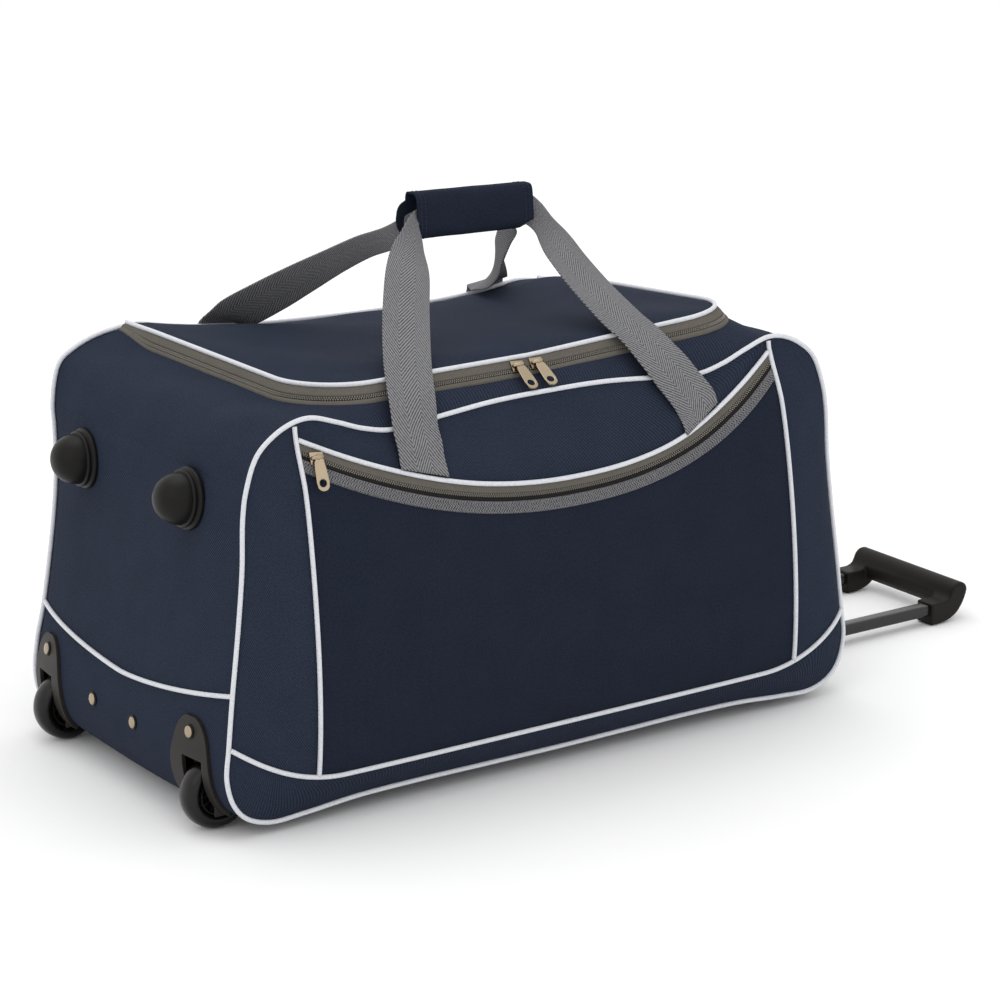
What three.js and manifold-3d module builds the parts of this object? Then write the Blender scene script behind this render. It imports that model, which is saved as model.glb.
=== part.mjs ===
// Wheeled sports bag: a soft holdall sewn from cloth panels with piped seams, on two wheels at one
// end, with a telescopic trolley handle at the other, two carry straps joined by a wrap, a zipped lid
// and a zipped front pocket.
// Millimetres. +X is the trolley-handle end, -Y the pocket side, +Z up, the floor is z = 0. The panels
// are laid out about the middle of the bag, and the whole is then moved so that the origin lies on the
// floor under the middle of the whole object, with the handle as far out as it is shown.
import * as THREE from "three";
import { mergeVertices } from "three/addons/utils/BufferGeometryUtils.js";
import Module from "manifold-3d";

const wasm = await Module();
wasm.setup();

// Driving sizes

// The middle of the whole object's box, seen from above.
const ORIGIN = { x: 117.25, y: -4.2 };
const CLOTH = { thick: 1.6, gap: 0.2, hem: 2.2 };
const PIPING = { radius: 2.1, sides: 5, lift: 2.6, trim: 5.4, out: 2.2, proud: 0.6 };
const EDGE_Y = 189;
const GUSSET_Y = EDGE_Y - CLOTH.thick - 3 * CLOTH.gap;
const ACROSS = 9;
const SEAT_GAP = 0.3;
const CUT_GAP = 0.4;

// Half of the outline of the front panel (x, z) and of the back panel (backX, backZ), from the bottom
// middle to the top middle. belly: how far the cloth between the two panels swells outwards at mid depth.
const OUTLINE = [
  { x: 0, z: 19, backX: 0, backZ: 19, belly: 14.5 },
  { x: 80, z: 19.5, backX: 80, backZ: 19.5, belly: 14.5 },
  { x: 150, z: 20, backX: 150, backZ: 20, belly: 14.5 },
  { x: 215, z: 19, backX: 215, backZ: 19, belly: 14 },
  { x: 268, z: 15, backX: 268, backZ: 15, belly: 10, mark: "base" },
  { x: 304, z: 14, backX: 304, backZ: 14, belly: 8 },
  { x: 326, z: 22, backX: 326, backZ: 22, belly: 8 },
  { x: 338, z: 36, backX: 338, backZ: 36, belly: 9, mark: "toe" },
  { x: 344, z: 60, backX: 342, backZ: 60, belly: 10 },
  { x: 341, z: 88, backX: 338.5, backZ: 88, belly: 11, mark: "band" },
  { x: 335.3, z: 135.6, backX: 329, backZ: 126, belly: 11, mark: "endPiping" },
  { x: 326.5, z: 200, backX: 315.5, backZ: 200, belly: 11 },
  { x: 321, z: 250, backX: 309.5, backZ: 250, belly: 9 },
  { x: 318.5, z: 295, backX: 308.5, backZ: 295, belly: 7 },
  { x: 314.5, z: 318, backX: 309, backZ: 320, belly: 5, mark: "shoulder" },
  { x: 303, z: 347, backX: 301, backZ: 348, belly: 3, mark: "corner" },
  { x: 286, z: 362, backX: 285, backZ: 358.5, belly: 2 },
  { x: 267, z: 370.5, backX: 264, backZ: 366.5, belly: 1, mark: "pocketLeft" },
  { x: 250, z: 372, backX: 244, backZ: 370.5, belly: 0, mark: "pocketRight" },
  { x: 224, z: 364, backX: 220, backZ: 373, belly: 0 },
  { x: 198, z: 354.5, backX: 196, backZ: 369.5, belly: 0 },
  { x: 168, z: 348.5, backX: 166, backZ: 365, belly: 0 },
  { x: 120, z: 352.5, backX: 120, backZ: 361, belly: 0 },
  { x: 60, z: 357.5, backX: 60, backZ: 358.5, belly: 0 },
  { x: 0, z: 358.5, backX: 0, backZ: 358, belly: 0 },
];
// Power of the belly's curve over the depth: the higher, the flatter its middle.
const BELLY_FLATNESS = 4;
// The top of the back panel stands higher at the wheel end than at the handle end.
const BACK_TWIST = { rise: 9, from: 310, over: 55, reach: 240 };

const FRONT = {
  bulge: 32, backBulge: 24, midZ: 188, halfZ: 176, underTop: 60,
  flatness: 6, endRound: 0.8, heightRound: 0.6,
};
const BAND = { z: 48, rise: 40, flat: 235, end: 341 };
const POCKET = {
  leftBottom: -262, leftTop: -267, rightBottom: 272, rightTop: 250, topZ: 371,
  sag: 284, sagX: 8, endLeft: 358, endRight: 361, bendLeft: 2, bendRight: 2.4, tape: 14, binding: 15,
};
// The end's piping rises from its middle to a height of its own at each edge.
const END_PIPING = { middle: 109, front: 135.6, back: 126, bend: 1.5 };
const LID = {
  halfX: 236, frontY: -157, radius: 66, z: 386, twist: 11, twistY: 150, crown: 9, step: 10, drop: 14,
  dipFromY: 120, seamRise: 4, dropShare: 0.25, cornerStops: 4, frontStops: 7, sideStops: 6,
};
// How far the back corner of a shoulder panel is drawn towards its neighbour.
const SHOULDER_TUCK = 0.3;

const WHEEL = {
  x: -333, radius: 33, width: 25, rimRadius: 20, rimHalf: 8,
  boreRadius: 3.3, axleRadius: 3, axlePast: 1.5,
};
const HUB = {
  rim: 2.6, rimHalf: 7.5, boss: 7.5, bossHalf: 11, spokes: 5, spokeFrom: 5, spokeHalf: 2.2,
  spokeThick: 3.2, rimIn: 1.5,
};
const WELL = { halfWidth: 18, wall: 2.5, top: 72, backX: -294, frontX: -352, bottom: 16 };
// How far a cutter reaches past what it cuts.
const BELOW = 40;
const BEYOND = 120;
const SHIELD = {
  thick: 4, bed: 1.05, slotHalf: 15, slotTop: 71, rivetZ: 89, cutDeep: 3, cutWide: 0.6,
};
// Half width of the wheel shield at each height of the bag's end, from its arched top to its toe.
const SHIELD_ROWS = [
  { z: 106, half: 7 },
  { z: 102, half: 14 },
  { z: 93.5, half: 21 },
  { z: 80, half: 26 },
  { z: 63, half: 30 },
  { z: 45, half: 31 },
  { z: 30, half: 31 },
  { z: 21, half: 30 },
];
const BUMPER = {
  radius: 28.5, height: 34, stem: 9, stemLength: 8, bed: 1.7,
  lip: 4, stepIn: 3, stepTop: 5.5, domeIn: 5, domeFrom: 9, holeHalf: 12,
};
const RIVET = { radius: 4.6, height: 1.7, washer: 7.4, washerThick: 1.2, lift: 0.5, z: 71 };
const FOOT = { x: 250, y: 100, radius: 15, height: 5.25, edge: 1.5, taper: 2 };

const TUBE = { y: 69, z: 15.7, width: 16, height: 12, wall: 1.2, from: 10, to: 573 };
const GUIDE = { wall: 1, play: 0.5, from: -195, to: 351 };
const GRIP = {
  socketX: 553, socketPast: 5, innerY: 57, outerY: 81,
  barX: 587, barZ: 25.8, barHalfX: 11, barHalfZ: 15.4, barLean: -0.2, barIn: 4,
};
// Side outline of a grip's arm from its socket round the end: each row is a place, and the point that the
// curve up to it bends towards.
const GRIP_SIDE = [
  { x: 565, z: 1, bendX: 560, bendZ: 1 },
  { x: 592, z: 13.8, bendX: 584, bendZ: 2.8 },
  { x: 600.5, z: 30.8, bendX: 598, bendZ: 21.8 },
  { x: 592, z: 41.3, bendX: 601.5, bendZ: 39.8 },
  { x: 580, z: 32.8, bendX: 583, bendZ: 40.8 },
  { x: 570, z: 24, bendX: 578, bendZ: 25 },
];

const STRAP_THICK = 2;
const WRAP = { fromX: -40, toX: 88, y: -28, z: 496, height: 46, depth: 24, wall: 2.2, lean: 0.28 };
// Stations along each carry strap: place of its middle, the way its width points, its width, and how far
// its cut end slants.
const FRONT_STRAP = [
  { x: -147, y: -207.5, z: 319, wx: 1, wy: 0, wz: 0, width: 46, skew: -14 },
  { x: -147, y: -203.5, z: 334, wx: 1, wy: 0, wz: 0, width: 46, skew: 0 },
  { x: -147, y: -196.5, z: 349, wx: 1, wy: 0, wz: 0, width: 46, skew: 0 },
  { x: -143, y: -186, z: 368, wx: 1, wy: 0, wz: 0, width: 46, skew: 0 },
  { x: -127, y: -153, z: 398, wx: 1, wy: 0, wz: 0, width: 46, skew: 0 },
  { x: -97, y: -105, z: 437, wx: 1, wy: -0.1, wz: -0.2, width: 46, skew: 0 },
  { x: -75, y: -72, z: 465, wx: 0.8, wy: -0.2, wz: -0.5, width: 42, skew: 0 },
  { x: -57, y: -46, z: 482, wx: 0.3, wy: -0.3, wz: -0.9, width: 36, skew: 0 },
  { x: -43, y: -31.5, z: 497.5, wx: 0, wy: -0.28, wz: -1, width: 26, skew: 0 },
  { x: 80, y: -31, z: 496, wx: 0, wy: -0.28, wz: -1, width: 34, skew: 0 },
  { x: 91, y: -31.5, z: 496.5, wx: 0, wy: -0.28, wz: -1, width: 28, skew: 0 },
  { x: 101, y: -41, z: 486, wx: -0.35, wy: -0.3, wz: -0.9, width: 22, skew: 0 },
  { x: 101, y: -58, z: 469, wx: -0.8, wy: -0.2, wz: -0.6, width: 29, skew: 0 },
  { x: 98, y: -78, z: 453, wx: -1, wy: 0, wz: -0.1, width: 38, skew: 0 },
  { x: 102, y: -110, z: 431, wx: -1, wy: 0, wz: 0.05, width: 45, skew: 0 },
  { x: 109, y: -148, z: 407, wx: -1, wy: 0, wz: 0, width: 46, skew: 0 },
  { x: 117, y: -171, z: 391, wx: -1, wy: 0, wz: 0, width: 46, skew: 0 },
  { x: 127, y: -188, z: 371, wx: -1, wy: 0, wz: 0, width: 46, skew: 0 },
  { x: 140, y: -197.5, z: 351, wx: -1, wy: 0, wz: 0, width: 46, skew: 0 },
  { x: 150, y: -203.8, z: 335, wx: -1, wy: 0, wz: 0, width: 46, skew: 0 },
  { x: 157, y: -206.8, z: 323.5, wx: -1, wy: 0, wz: 0, width: 46, skew: 16 },
];
const BACK_STRAP = [
  { x: -130, y: 206.3, z: 315, wx: 1, wy: 0, wz: 0, width: 46, skew: 0 },
  { x: -130, y: 202.8, z: 338, wx: 1, wy: 0, wz: 0, width: 46, skew: 0 },
  { x: -129, y: 196.8, z: 358, wx: 1, wy: 0, wz: 0, width: 46, skew: 0 },
  { x: -126, y: 190, z: 378, wx: 1, wy: 0, wz: 0, width: 46, skew: 0 },
  { x: -116, y: 155, z: 401, wx: 1, wy: 0, wz: 0, width: 46, skew: 0 },
  { x: -95, y: 108, z: 424, wx: 1, wy: 0.1, wz: -0.15, width: 46, skew: 0 },
  { x: -75, y: 64, z: 446, wx: 0.95, wy: 0.1, wz: -0.35, width: 44, skew: 0 },
  { x: -61, y: 20, z: 470, wx: 0.7, wy: 0, wz: -0.7, width: 38, skew: 0 },
  { x: -50, y: -14, z: 490, wx: 0.1, wy: -0.2, wz: -1, width: 34, skew: 0 },
  { x: -38, y: -24, z: 496, wx: 0, wy: -0.28, wz: -1, width: 34, skew: 0 },
  { x: 28, y: -25, z: 496, wx: 0, wy: -0.28, wz: -1, width: 34, skew: 0 },
  { x: 85, y: -24.5, z: 496, wx: 0, wy: -0.28, wz: -1, width: 34, skew: 0 },
  { x: 95, y: -21, z: 492.5, wx: 0, wy: -0.25, wz: -1, width: 34, skew: 0 },
  { x: 100, y: -8, z: 480, wx: -0.2, wy: -0.2, wz: -1, width: 34, skew: 0 },
  { x: 100, y: 12, z: 460, wx: -0.65, wy: 0, wz: -0.75, width: 36, skew: 0 },
  { x: 103, y: 36, z: 440, wx: -0.9, wy: 0.1, wz: -0.4, width: 42, skew: 0 },
  { x: 120, y: 72, z: 418, wx: -1, wy: 0.1, wz: -0.15, width: 46, skew: 0 },
  { x: 142, y: 118, z: 401, wx: -1, wy: 0.05, wz: -0.05, width: 46, skew: 0 },
  { x: 158, y: 160, z: 389, wx: -1, wy: 0, wz: 0, width: 46, skew: 0 },
  { x: 167, y: 191, z: 376, wx: -1, wy: 0, wz: 0, width: 46, skew: 0 },
  { x: 170, y: 198, z: 353, wx: -1, wy: 0, wz: 0, width: 46, skew: 0 },
  { x: 170, y: 202.8, z: 332, wx: -1, wy: 0, wz: 0, width: 46, skew: 0 },
  { x: 170, y: 206.3, z: 312, wx: -1, wy: 0, wz: 0, width: 46, skew: 0 },
];

const SLIDER = { length: 13, width: 11, thick: 3, earHeight: 4.4, earDepth: 3.2, ear: 1.4, lift: 0.5 };
const PULL = {
  length: 30, width: 12, thick: 1.4, pinRise: 2.7, pinRadius: 0.8, bore: 1.25, barrel: 2.3, hole: 3,
  neckFrom: 1.6, neckTo: 5, wideFrom: 9, play: 0.5, lean: 0.34,
};
const MAIN_PULLS = [
  { name: "main_left", x: -17 },
  { name: "main_right", x: 4 },
];
const POCKET_PULL = { name: "pocket", x: -251, below: 10 };

// Colours and finishes

const finish = (color, roughness, metalness = 0) =>
  new THREE.MeshStandardMaterial({ color, roughness, metalness });
const NAVY = finish(0x1b2436, 0.85);
const WHITE = finish(0xe4e6ec, 0.6);
const GREY_TAPE = finish(0x6f6c66, 0.8);
const GREY_WEBBING = finish(0x77787b, 0.85);
const BLACK_PLASTIC = finish(0x1d1c1b, 0.45);
const SHIELD_PLASTIC = finish(0x3c3a37, 0.55);
const TYRE = finish(0x111214, 0.5);
const TUBE_METAL = finish(0x3a3733, 0.4, 0.7);
const NICKEL = finish(0xc9bda6, 0.3, 1);

// Small helpers

const point = (x, y, z) => new THREE.Vector3(x, y, z);
const rowAt = (mark) => OUTLINE.findIndex((row) => row.mark === mark);
const clamp = (value, low, high) => Math.min(high, Math.max(low, value));
const smooth = (t) => {
  const s = clamp(t, 0, 1);
  return s * s * (3 - 2 * s);
};
const last = (list) => list[list.length - 1];
const mix = (a, b, t) => a + (b - a) * t;
const range = (count) => Array.from({ length: count }, (_, i) => i);
const steps = (from, to, count) => range(count).map((i) => mix(from, to, i / (count - 1)));

// Value of a column at a place in a table whose key column rises or falls steadily.
function readTable(rows, key, column, at) {
  const sorted = [...rows].sort((a, b) => a[key] - b[key]);
  if (at <= sorted[0][key]) return sorted[0][column];
  for (let i = 1; i < sorted.length; i++) {
    const [low, high] = [sorted[i - 1], sorted[i]];
    if (at <= high[key]) return mix(low[column], high[column], (at - low[key]) / (high[key] - low[key]));
  }
  return last(sorted)[column];
}

const SIDE_ROWS = OUTLINE.slice(rowAt("toe"), rowAt("corner") + 1);
const TOP_ROWS = OUTLINE.slice(rowAt("corner"));
const halfLengthAt = (z) => readTable(SIDE_ROWS, "z", "x", z);
const backHalfLengthAt = (z) => readTable(SIDE_ROWS, "backZ", "backX", z);
const topAt = (x) => readTable(TOP_ROWS, "x", "z", Math.abs(x));

// Height of the back panel's seam, with the twist of its top.
function twisted(x, z) {
  const lean = clamp(x / BACK_TWIST.reach, -1, 1);
  return z - BACK_TWIST.rise * lean * smooth((z - BACK_TWIST.from) / BACK_TWIST.over);
}
const backTopAt = (x) => twisted(x, readTable(TOP_ROWS, "backX", "backZ", Math.abs(x)));

// Geometry helpers

function geometryOf(vertices, triangles) {
  const geometry = new THREE.BufferGeometry();
  const places = vertices.flatMap((v) => v.toArray());
  geometry.setAttribute("position", new THREE.Float32BufferAttribute(places, 3));
  geometry.setIndex(triangles);
  geometry.computeVertexNormals();
  return geometry;
}

function solidOf(geometry) {
  const bare = geometry.clone();
  for (const name of Object.keys(bare.attributes)) if (name !== "position") bare.deleteAttribute(name);
  const merged = mergeVertices(bare, 1e-4);
  return new wasm.Manifold(
    new wasm.Mesh({
      numProp: 3,
      vertProperties: new Float32Array(merged.attributes.position.array),
      triVerts: new Uint32Array(merged.index.array),
    }),
  );
}

function geometryFrom(solid) {
  const made = solid.getMesh();
  const geometry = new THREE.BufferGeometry();
  geometry.setAttribute("position", new THREE.BufferAttribute(new Float32Array(made.vertProperties), 3));
  geometry.setIndex(new THREE.BufferAttribute(new Uint32Array(made.triVerts), 1));
  geometry.computeVertexNormals();
  return geometry;
}

const cut = (geometry, ...tools) =>
  geometryFrom(tools.reduce((body, tool) => body.subtract(solidOf(tool)), solidOf(geometry)));
const join = (...pieces) => geometryFrom(pieces.map(solidOf).reduce((body, piece) => body.add(piece)));

function box(low, high) {
  const size = high.clone().sub(low);
  const middle = low.clone().add(high).multiplyScalar(0.5);
  return new THREE.BoxGeometry(size.x, size.y, size.z).translate(middle.x, middle.y, middle.z);
}

// A turned solid: the profile holds (radius, height) pairs, and the axis points along `axis`.
function turned(profile, segments, axis = point(0, 1, 0)) {
  const outline = profile.map(([radius, height]) => new THREE.Vector2(radius, height));
  const turn = new THREE.Quaternion().setFromUnitVectors(point(0, 1, 0), axis.clone().normalize());
  return new THREE.LatheGeometry(outline, segments).applyQuaternion(turn);
}

// A path through given points, whose stations are the points themselves.
class SeamPath extends THREE.Curve {
  constructor(points) {
    super();
    this.points = points;
  }
  getPoint(t, target = new THREE.Vector3()) {
    const at = clamp(t, 0, 1) * (this.points.length - 1);
    const low = Math.min(Math.floor(at), this.points.length - 2);
    return target.lerpVectors(this.points[low], this.points[low + 1], at - low);
  }
  getUtoTmapping(u) {
    return u;
  }
}

function roundTube(points, radius, sides) {
  const section = new THREE.Shape(
    range(sides).map((i) => {
      const angle = (2 * Math.PI * i) / sides;
      return new THREE.Vector2(radius * Math.cos(angle), radius * Math.sin(angle));
    }),
  );
  return new THREE.ExtrudeGeometry(section, {
    steps: points.length - 1,
    extrudePath: new SeamPath(points),
    bevelEnabled: false,
  });
}

// Shortens a line of points at its start and end.
function trimmed(points, start, end = start) {
  const cutStart = (list, length) => {
    const rest = [...list];
    let left = length;
    while (rest.length > 2 && rest[0].distanceTo(rest[1]) <= left) {
      left -= rest[0].distanceTo(rest[1]);
      rest.shift();
    }
    const along = rest[1].clone().sub(rest[0]).setLength(left);
    return [rest[0].clone().add(along), ...rest.slice(1)];
  };
  return cutStart(cutStart(points, start).reverse(), end).reverse();
}

// Grid of points between four edge lines that share their corners.
function patch(bottom, top, left, right, shape = (p) => p) {
  const lastU = bottom.length - 1;
  const lastV = left.length - 1;
  return left.map((_, j) =>
    bottom.map((__, i) => {
      const u = i / lastU;
      const v = j / lastV;
      const across = left[j].clone().lerp(right[j], u);
      const along = bottom[i].clone().lerp(top[i], v);
      const lowCorner = bottom[0].clone().lerp(bottom[lastU], u);
      const highCorner = top[0].clone().lerp(top[lastU], u);
      const flat = across.add(along).sub(lowCorner.lerp(highCorner, v));
      const onEdge = i === 0 || j === 0 || i === lastU || j === lastV;
      return onEdge ? flat : shape(flat, u, v);
    }),
  );
}

// Normals of a grid. A corner where two edges meet in a point takes its neighbour's.
function gridNormals(grid) {
  const at = (j, i) => grid[clamp(j, 0, grid.length - 1)][clamp(i, 0, grid[0].length - 1)];
  const normals = grid.map((row, j) =>
    row.map((_, i) => {
      const along = at(j, i + 1).clone().sub(at(j, i - 1));
      const up = at(j + 1, i).clone().sub(at(j - 1, i));
      return along.cross(up).normalize();
    }),
  );
  for (const row of normals) {
    if (row[0].length() < 0.5) row[0].copy(row[1]);
    if (last(row).length() < 0.5) last(row).copy(row[row.length - 2]);
  }
  return normals;
}

// Moves the rim of a grid towards its middle.
function insetGrid(grid, distance) {
  const lastV = grid.length - 1;
  const lastU = grid[0].length - 1;
  const towards = (from, to) => to.clone().sub(from).setLength(distance);
  return grid.map((row, j) =>
    row.map((p, i) => {
      const moved = p.clone();
      if (i === 0) moved.add(towards(p, row[1]));
      if (i === lastU) moved.add(towards(p, row[lastU - 1]));
      if (j === 0) moved.add(towards(p, grid[1][i]));
      if (j === lastV) moved.add(towards(p, grid[lastV - 1][i]));
      return moved;
    }),
  );
}

const BAG_MIDDLE = point(0, 0, 190);

// Closed sheet between an outer and an inner height over a grid, with its faces pointing out.
function sheet(grid, outer, inner, outerInset = CLOTH.gap, innerInset = CLOTH.hem) {
  const normals = gridNormals(grid);
  const rows = grid.length;
  const columns = grid[0].length;
  const middle = grid[Math.floor(rows / 2)][Math.floor(columns / 2)];
  const facing = normals[Math.floor(rows / 2)][Math.floor(columns / 2)];
  const side = facing.dot(middle.clone().sub(BAG_MIDDLE)) < 0 ? -1 : 1;
  const raised = (row, j, height) => row.map((p, i) => p.addScaledVector(normals[j][i], side * height));
  const layer = (inset, height) => insetGrid(grid, inset).map((row, j) => raised(row, j, height));
  const vertices = [...layer(outerInset, outer).flat(), ...layer(innerInset, inner).flat()];
  const count = rows * columns;
  const triangles = [];
  const quad = (a, b, c, d) => triangles.push(...(side > 0 ? [a, b, c, a, c, d] : [a, c, b, a, d, c]));
  for (let j = 0; j < rows - 1; j++) {
    for (let i = 0; i < columns - 1; i++) {
      const a = j * columns + i;
      const [b, c, d] = [a + 1, a + columns + 1, a + columns];
      quad(a, b, c, d);
      quad(count + a, count + d, count + c, count + b);
    }
  }
  const rim = [
    ...range(columns - 1).map((i) => [i, i + 1]),
    ...range(rows - 1).map((j) => [(j + 1) * columns - 1, (j + 2) * columns - 1]),
    ...range(columns - 1).map((i) => [rows * columns - 1 - i, rows * columns - 2 - i]),
    ...range(rows - 1).map((j) => [(rows - 1 - j) * columns, (rows - 2 - j) * columns]),
  ];
  for (const [a, b] of rim) quad(a, count + a, count + b, b);
  return geometryOf(vertices, triangles);
}

const clothSheet = (grid) => sheet(grid, 0, -CLOTH.thick);

const depthShare = (y) => (y + GUSSET_Y) / (2 * GUSSET_Y);

// Point and outward normal of an end's grid, whose columns lie at even depths, at a depth and a height.
function seatOn(grid, y, z) {
  const normals = gridNormals(grid);
  const at = depthShare(y) * (ACROSS - 1);
  const i = Math.min(ACROSS - 2, Math.floor(at));
  const across = (rows, j) => rows[j][i].clone().lerp(rows[j][i + 1], at - i);
  const heights = grid.map((_, j) => across(grid, j).z);
  const above = heights.findIndex((height) => height > z);
  const j = Math.max(0, (above < 0 ? heights.length - 1 : above) - 1);
  const share = (z - heights[j]) / (heights[j + 1] - heights[j]);
  const p = across(grid, j).lerp(across(grid, j + 1), share);
  const normal = across(normals, j).lerp(across(normals, j + 1), share).normalize();
  return { p, normal: normal.dot(p.clone().sub(BAG_MIDDLE)) < 0 ? normal.negate() : normal };
}

// The bag's form

// A row of the outline at the wheel end (-1) or the handle end (1), with its outward direction.
function mirrored(row, side) {
  const k = OUTLINE.indexOf(row);
  const before = OUTLINE[Math.max(0, k - 1)];
  const after = OUTLINE[Math.min(OUTLINE.length - 1, k + 1)];
  const out = point(side * (after.z - before.z), 0, before.x - after.x).normalize();
  const backX = side * row.backX;
  return { ...row, x: side * row.x, backX, backZ: twisted(backX, row.backZ), out };
}

// Outline stations from one marked row to another, on the wheel end (-1) or the handle end (1).
const outlineRun = (from, to, side) => {
  const [a, b] = [rowAt(from), rowAt(to)];
  const run = OUTLINE.slice(Math.min(a, b), Math.max(a, b) + 1).map((row) => mirrored(row, side));
  return a > b ? run.reverse() : run;
};
const topRun = (from, to) => [
  ...OUTLINE.slice(rowAt(from)).map((row) => mirrored(row, -1)),
  ...OUTLINE.slice(rowAt(to), -1).reverse().map((row) => mirrored(row, 1)),
];
const bottomRun = (mark) => [
  ...OUTLINE.slice(1, rowAt(mark) + 1).reverse().map((row) => mirrored(row, -1)),
  ...OUTLINE.slice(0, rowAt(mark) + 1).map((row) => mirrored(row, 1)),
];

// Bulge of the front or back face: nothing at the outline, and nearly flat over the middle.
function faceBulge(x, z, most, halfLength, top) {
  const u = Math.min(1, Math.abs(x) / halfLength);
  const w = Math.min(1, Math.abs(z - FRONT.midZ) / FRONT.halfZ);
  const alongX = (1 - u ** FRONT.flatness) ** FRONT.endRound;
  const alongZ = (1 - w ** 2) ** FRONT.heightRound;
  const underTop = smooth((top - z) / FRONT.underTop);
  return most * alongX * alongZ * Math.sqrt(underTop);
}
const frontBulge = (x, z) => faceBulge(x, z, FRONT.bulge, halfLengthAt(z), topAt(x));
const backBulge = (x, z) => faceBulge(x, z, FRONT.backBulge, backHalfLengthAt(z), backTopAt(x));
const onFront = (x, z) => point(x, -EDGE_Y - frontBulge(x, z), z);
const onBack = (x, z) => point(x, EDGE_Y + backBulge(x, z), z);
const liftFront = (p) => onFront(p.x, p.z);
const liftBack = (p) => onBack(p.x, p.z);
const edgeAt = (row, y) => (y < 0 ? point(row.x, y, row.z) : point(row.backX, y, row.backZ));
const frontEdge = (run) => run.map((row) => edgeAt(row, -EDGE_Y));
const backEdge = (run) => run.map((row) => edgeAt(row, EDGE_Y));
const gussetEdge = (run, y) => run.map((row) => edgeAt(row, y));

const pastFlat = (x) => Math.max(0, (Math.abs(x) - BAND.flat) / (BAND.end - BAND.flat));
const bandZ = (x) => BAND.z + BAND.rise * pastFlat(x) ** 2;
const upSeam = (z) => (z - BAND.z) / (POCKET.topZ - BAND.z);
const leftSeamX = (z) => mix(POCKET.leftBottom, POCKET.leftTop, upSeam(z));
const rightSeamX = (z) => mix(POCKET.rightBottom, POCKET.rightTop, upSeam(z));

// Height of the pocket's curved zip over its length.
function pocketZ(x) {
  const onLeft = x < POCKET.sagX;
  const reach = onLeft ? POCKET.sagX - POCKET.leftTop : POCKET.rightTop - POCKET.sagX;
  const end = onLeft ? POCKET.endLeft : POCKET.endRight;
  const bend = onLeft ? POCKET.bendLeft : POCKET.bendRight;
  return POCKET.sag + (end - POCKET.sag) * (Math.abs(x - POCKET.sagX) / reach) ** bend;
}

function endPipingZ(y) {
  const edge = y < 0 ? END_PIPING.front : END_PIPING.back;
  return mix(END_PIPING.middle, edge, (Math.abs(y) / GUSSET_Y) ** END_PIPING.bend);
}

// Edge of the lid in plan: a straight back, two sides and a front with round corners.
function lidEdge(grow, drop) {
  const halfX = LID.halfX + grow;
  const frontY = LID.frontY - grow;
  const radius = LID.radius + grow / 2;
  const backY = GUSSET_Y - CLOTH.gap;
  const twist = (x, y) => (LID.twist * y * Math.max(0, x)) / (LID.twistY * LID.halfX);
  const height = (x, y) => LID.z - drop - twist(x, y);
  const arc = (side, from, to) =>
    steps(from, to, LID.cornerStops).map((angle) => {
      const x = side * (halfX - radius + radius * Math.sin(angle));
      return [x, frontY + radius - radius * Math.cos(angle)];
    });
  const sideStops = (side) => steps(backY, frontY + radius, LID.sideStops).map((y) => [side * halfX, y]);
  const quarter = Math.PI / 2;
  const half = quarter / 2;
  const left = [...sideStops(-1), ...arc(-1, quarter, half).slice(1)];
  const right = [...sideStops(1), ...arc(1, quarter, half).slice(1)];
  const front = [
    ...arc(-1, half, 0),
    ...steps(radius - halfX, halfX - radius, LID.frontStops).slice(1, -1).map((x) => [x, frontY]),
    ...arc(1, 0, half),
  ];
  const place = ([x, y]) => point(x, y, backDip(x, y, height(x, y), drop));
  return { left: left.map(place), front: front.map(place), right: right.map(place) };
}

// The ends of the lid's edge come down to the back panel's top seam.
function backDip(x, y, z, drop) {
  const near = smooth((y - LID.dipFromY) / (GUSSET_Y - LID.dipFromY));
  return mix(z, backTopAt(x) + LID.seamRise - drop * LID.dropShare, near);
}

// Point of the cloth between the two face panels, which swells outwards at mid depth.
function gussetPoint(row, y) {
  const p = edgeAt(row, -GUSSET_Y).lerp(edgeAt(row, GUSSET_Y), depthShare(y));
  return p.addScaledVector(row.out, row.belly * (1 - (y / GUSSET_Y) ** BELLY_FLATNESS));
}

// Grids of the panels

const depths = steps(-GUSSET_Y, GUSSET_Y, ACROSS);

function frontSideGrid(side) {
  const top = frontEdge(outlineRun("corner", side < 0 ? "pocketLeft" : "pocketRight", side));
  const outer = frontEdge(outlineRun("band", "corner", side));
  const seamX = side < 0 ? leftSeamX : rightSeamX;
  const foot = seamX(BAND.z);
  const bottom = steps(outer[0].x, foot, top.length).map((x) => onFront(x, bandZ(x)));
  bottom[0] = outer[0];
  const head = last(top);
  const inner = steps(bandZ(foot), head.z, outer.length).map((z) => onFront(seamX(z), z));
  inner[0] = last(bottom);
  inner[inner.length - 1] = head;
  return patch(bottom, top, outer, inner, liftFront);
}
const frontLeft = frontSideGrid(-1);
const frontRight = frontSideGrid(1);
const lastColumn = (grid) => grid.map((row) => last(row));
const topRow = (grid) => last(grid);
const leftSeam = lastColumn(frontLeft);
const rightSeam = lastColumn(frontRight);

const YOKE_TOP = topRun("pocketLeft", "pocketRight");
const pocketX = (below) => {
  const leftX = leftSeamX(POCKET.endLeft - below);
  const rightX = rightSeamX(POCKET.endRight - below);
  return YOKE_TOP.map((row, i) => mix(leftX, rightX, i / (YOKE_TOP.length - 1)));
};
const pocketLine = (below) => pocketX(below).map((x) => onFront(x, pocketZ(x) - below));
const pocketTop = pocketLine(0);
const tapeLow = pocketLine(POCKET.tape);
const bindingLow = pocketLine(POCKET.tape + POCKET.binding);
const between = (a, b, count) => steps(0, 1, count).map((t) => a.clone().lerp(b, t));

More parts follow.
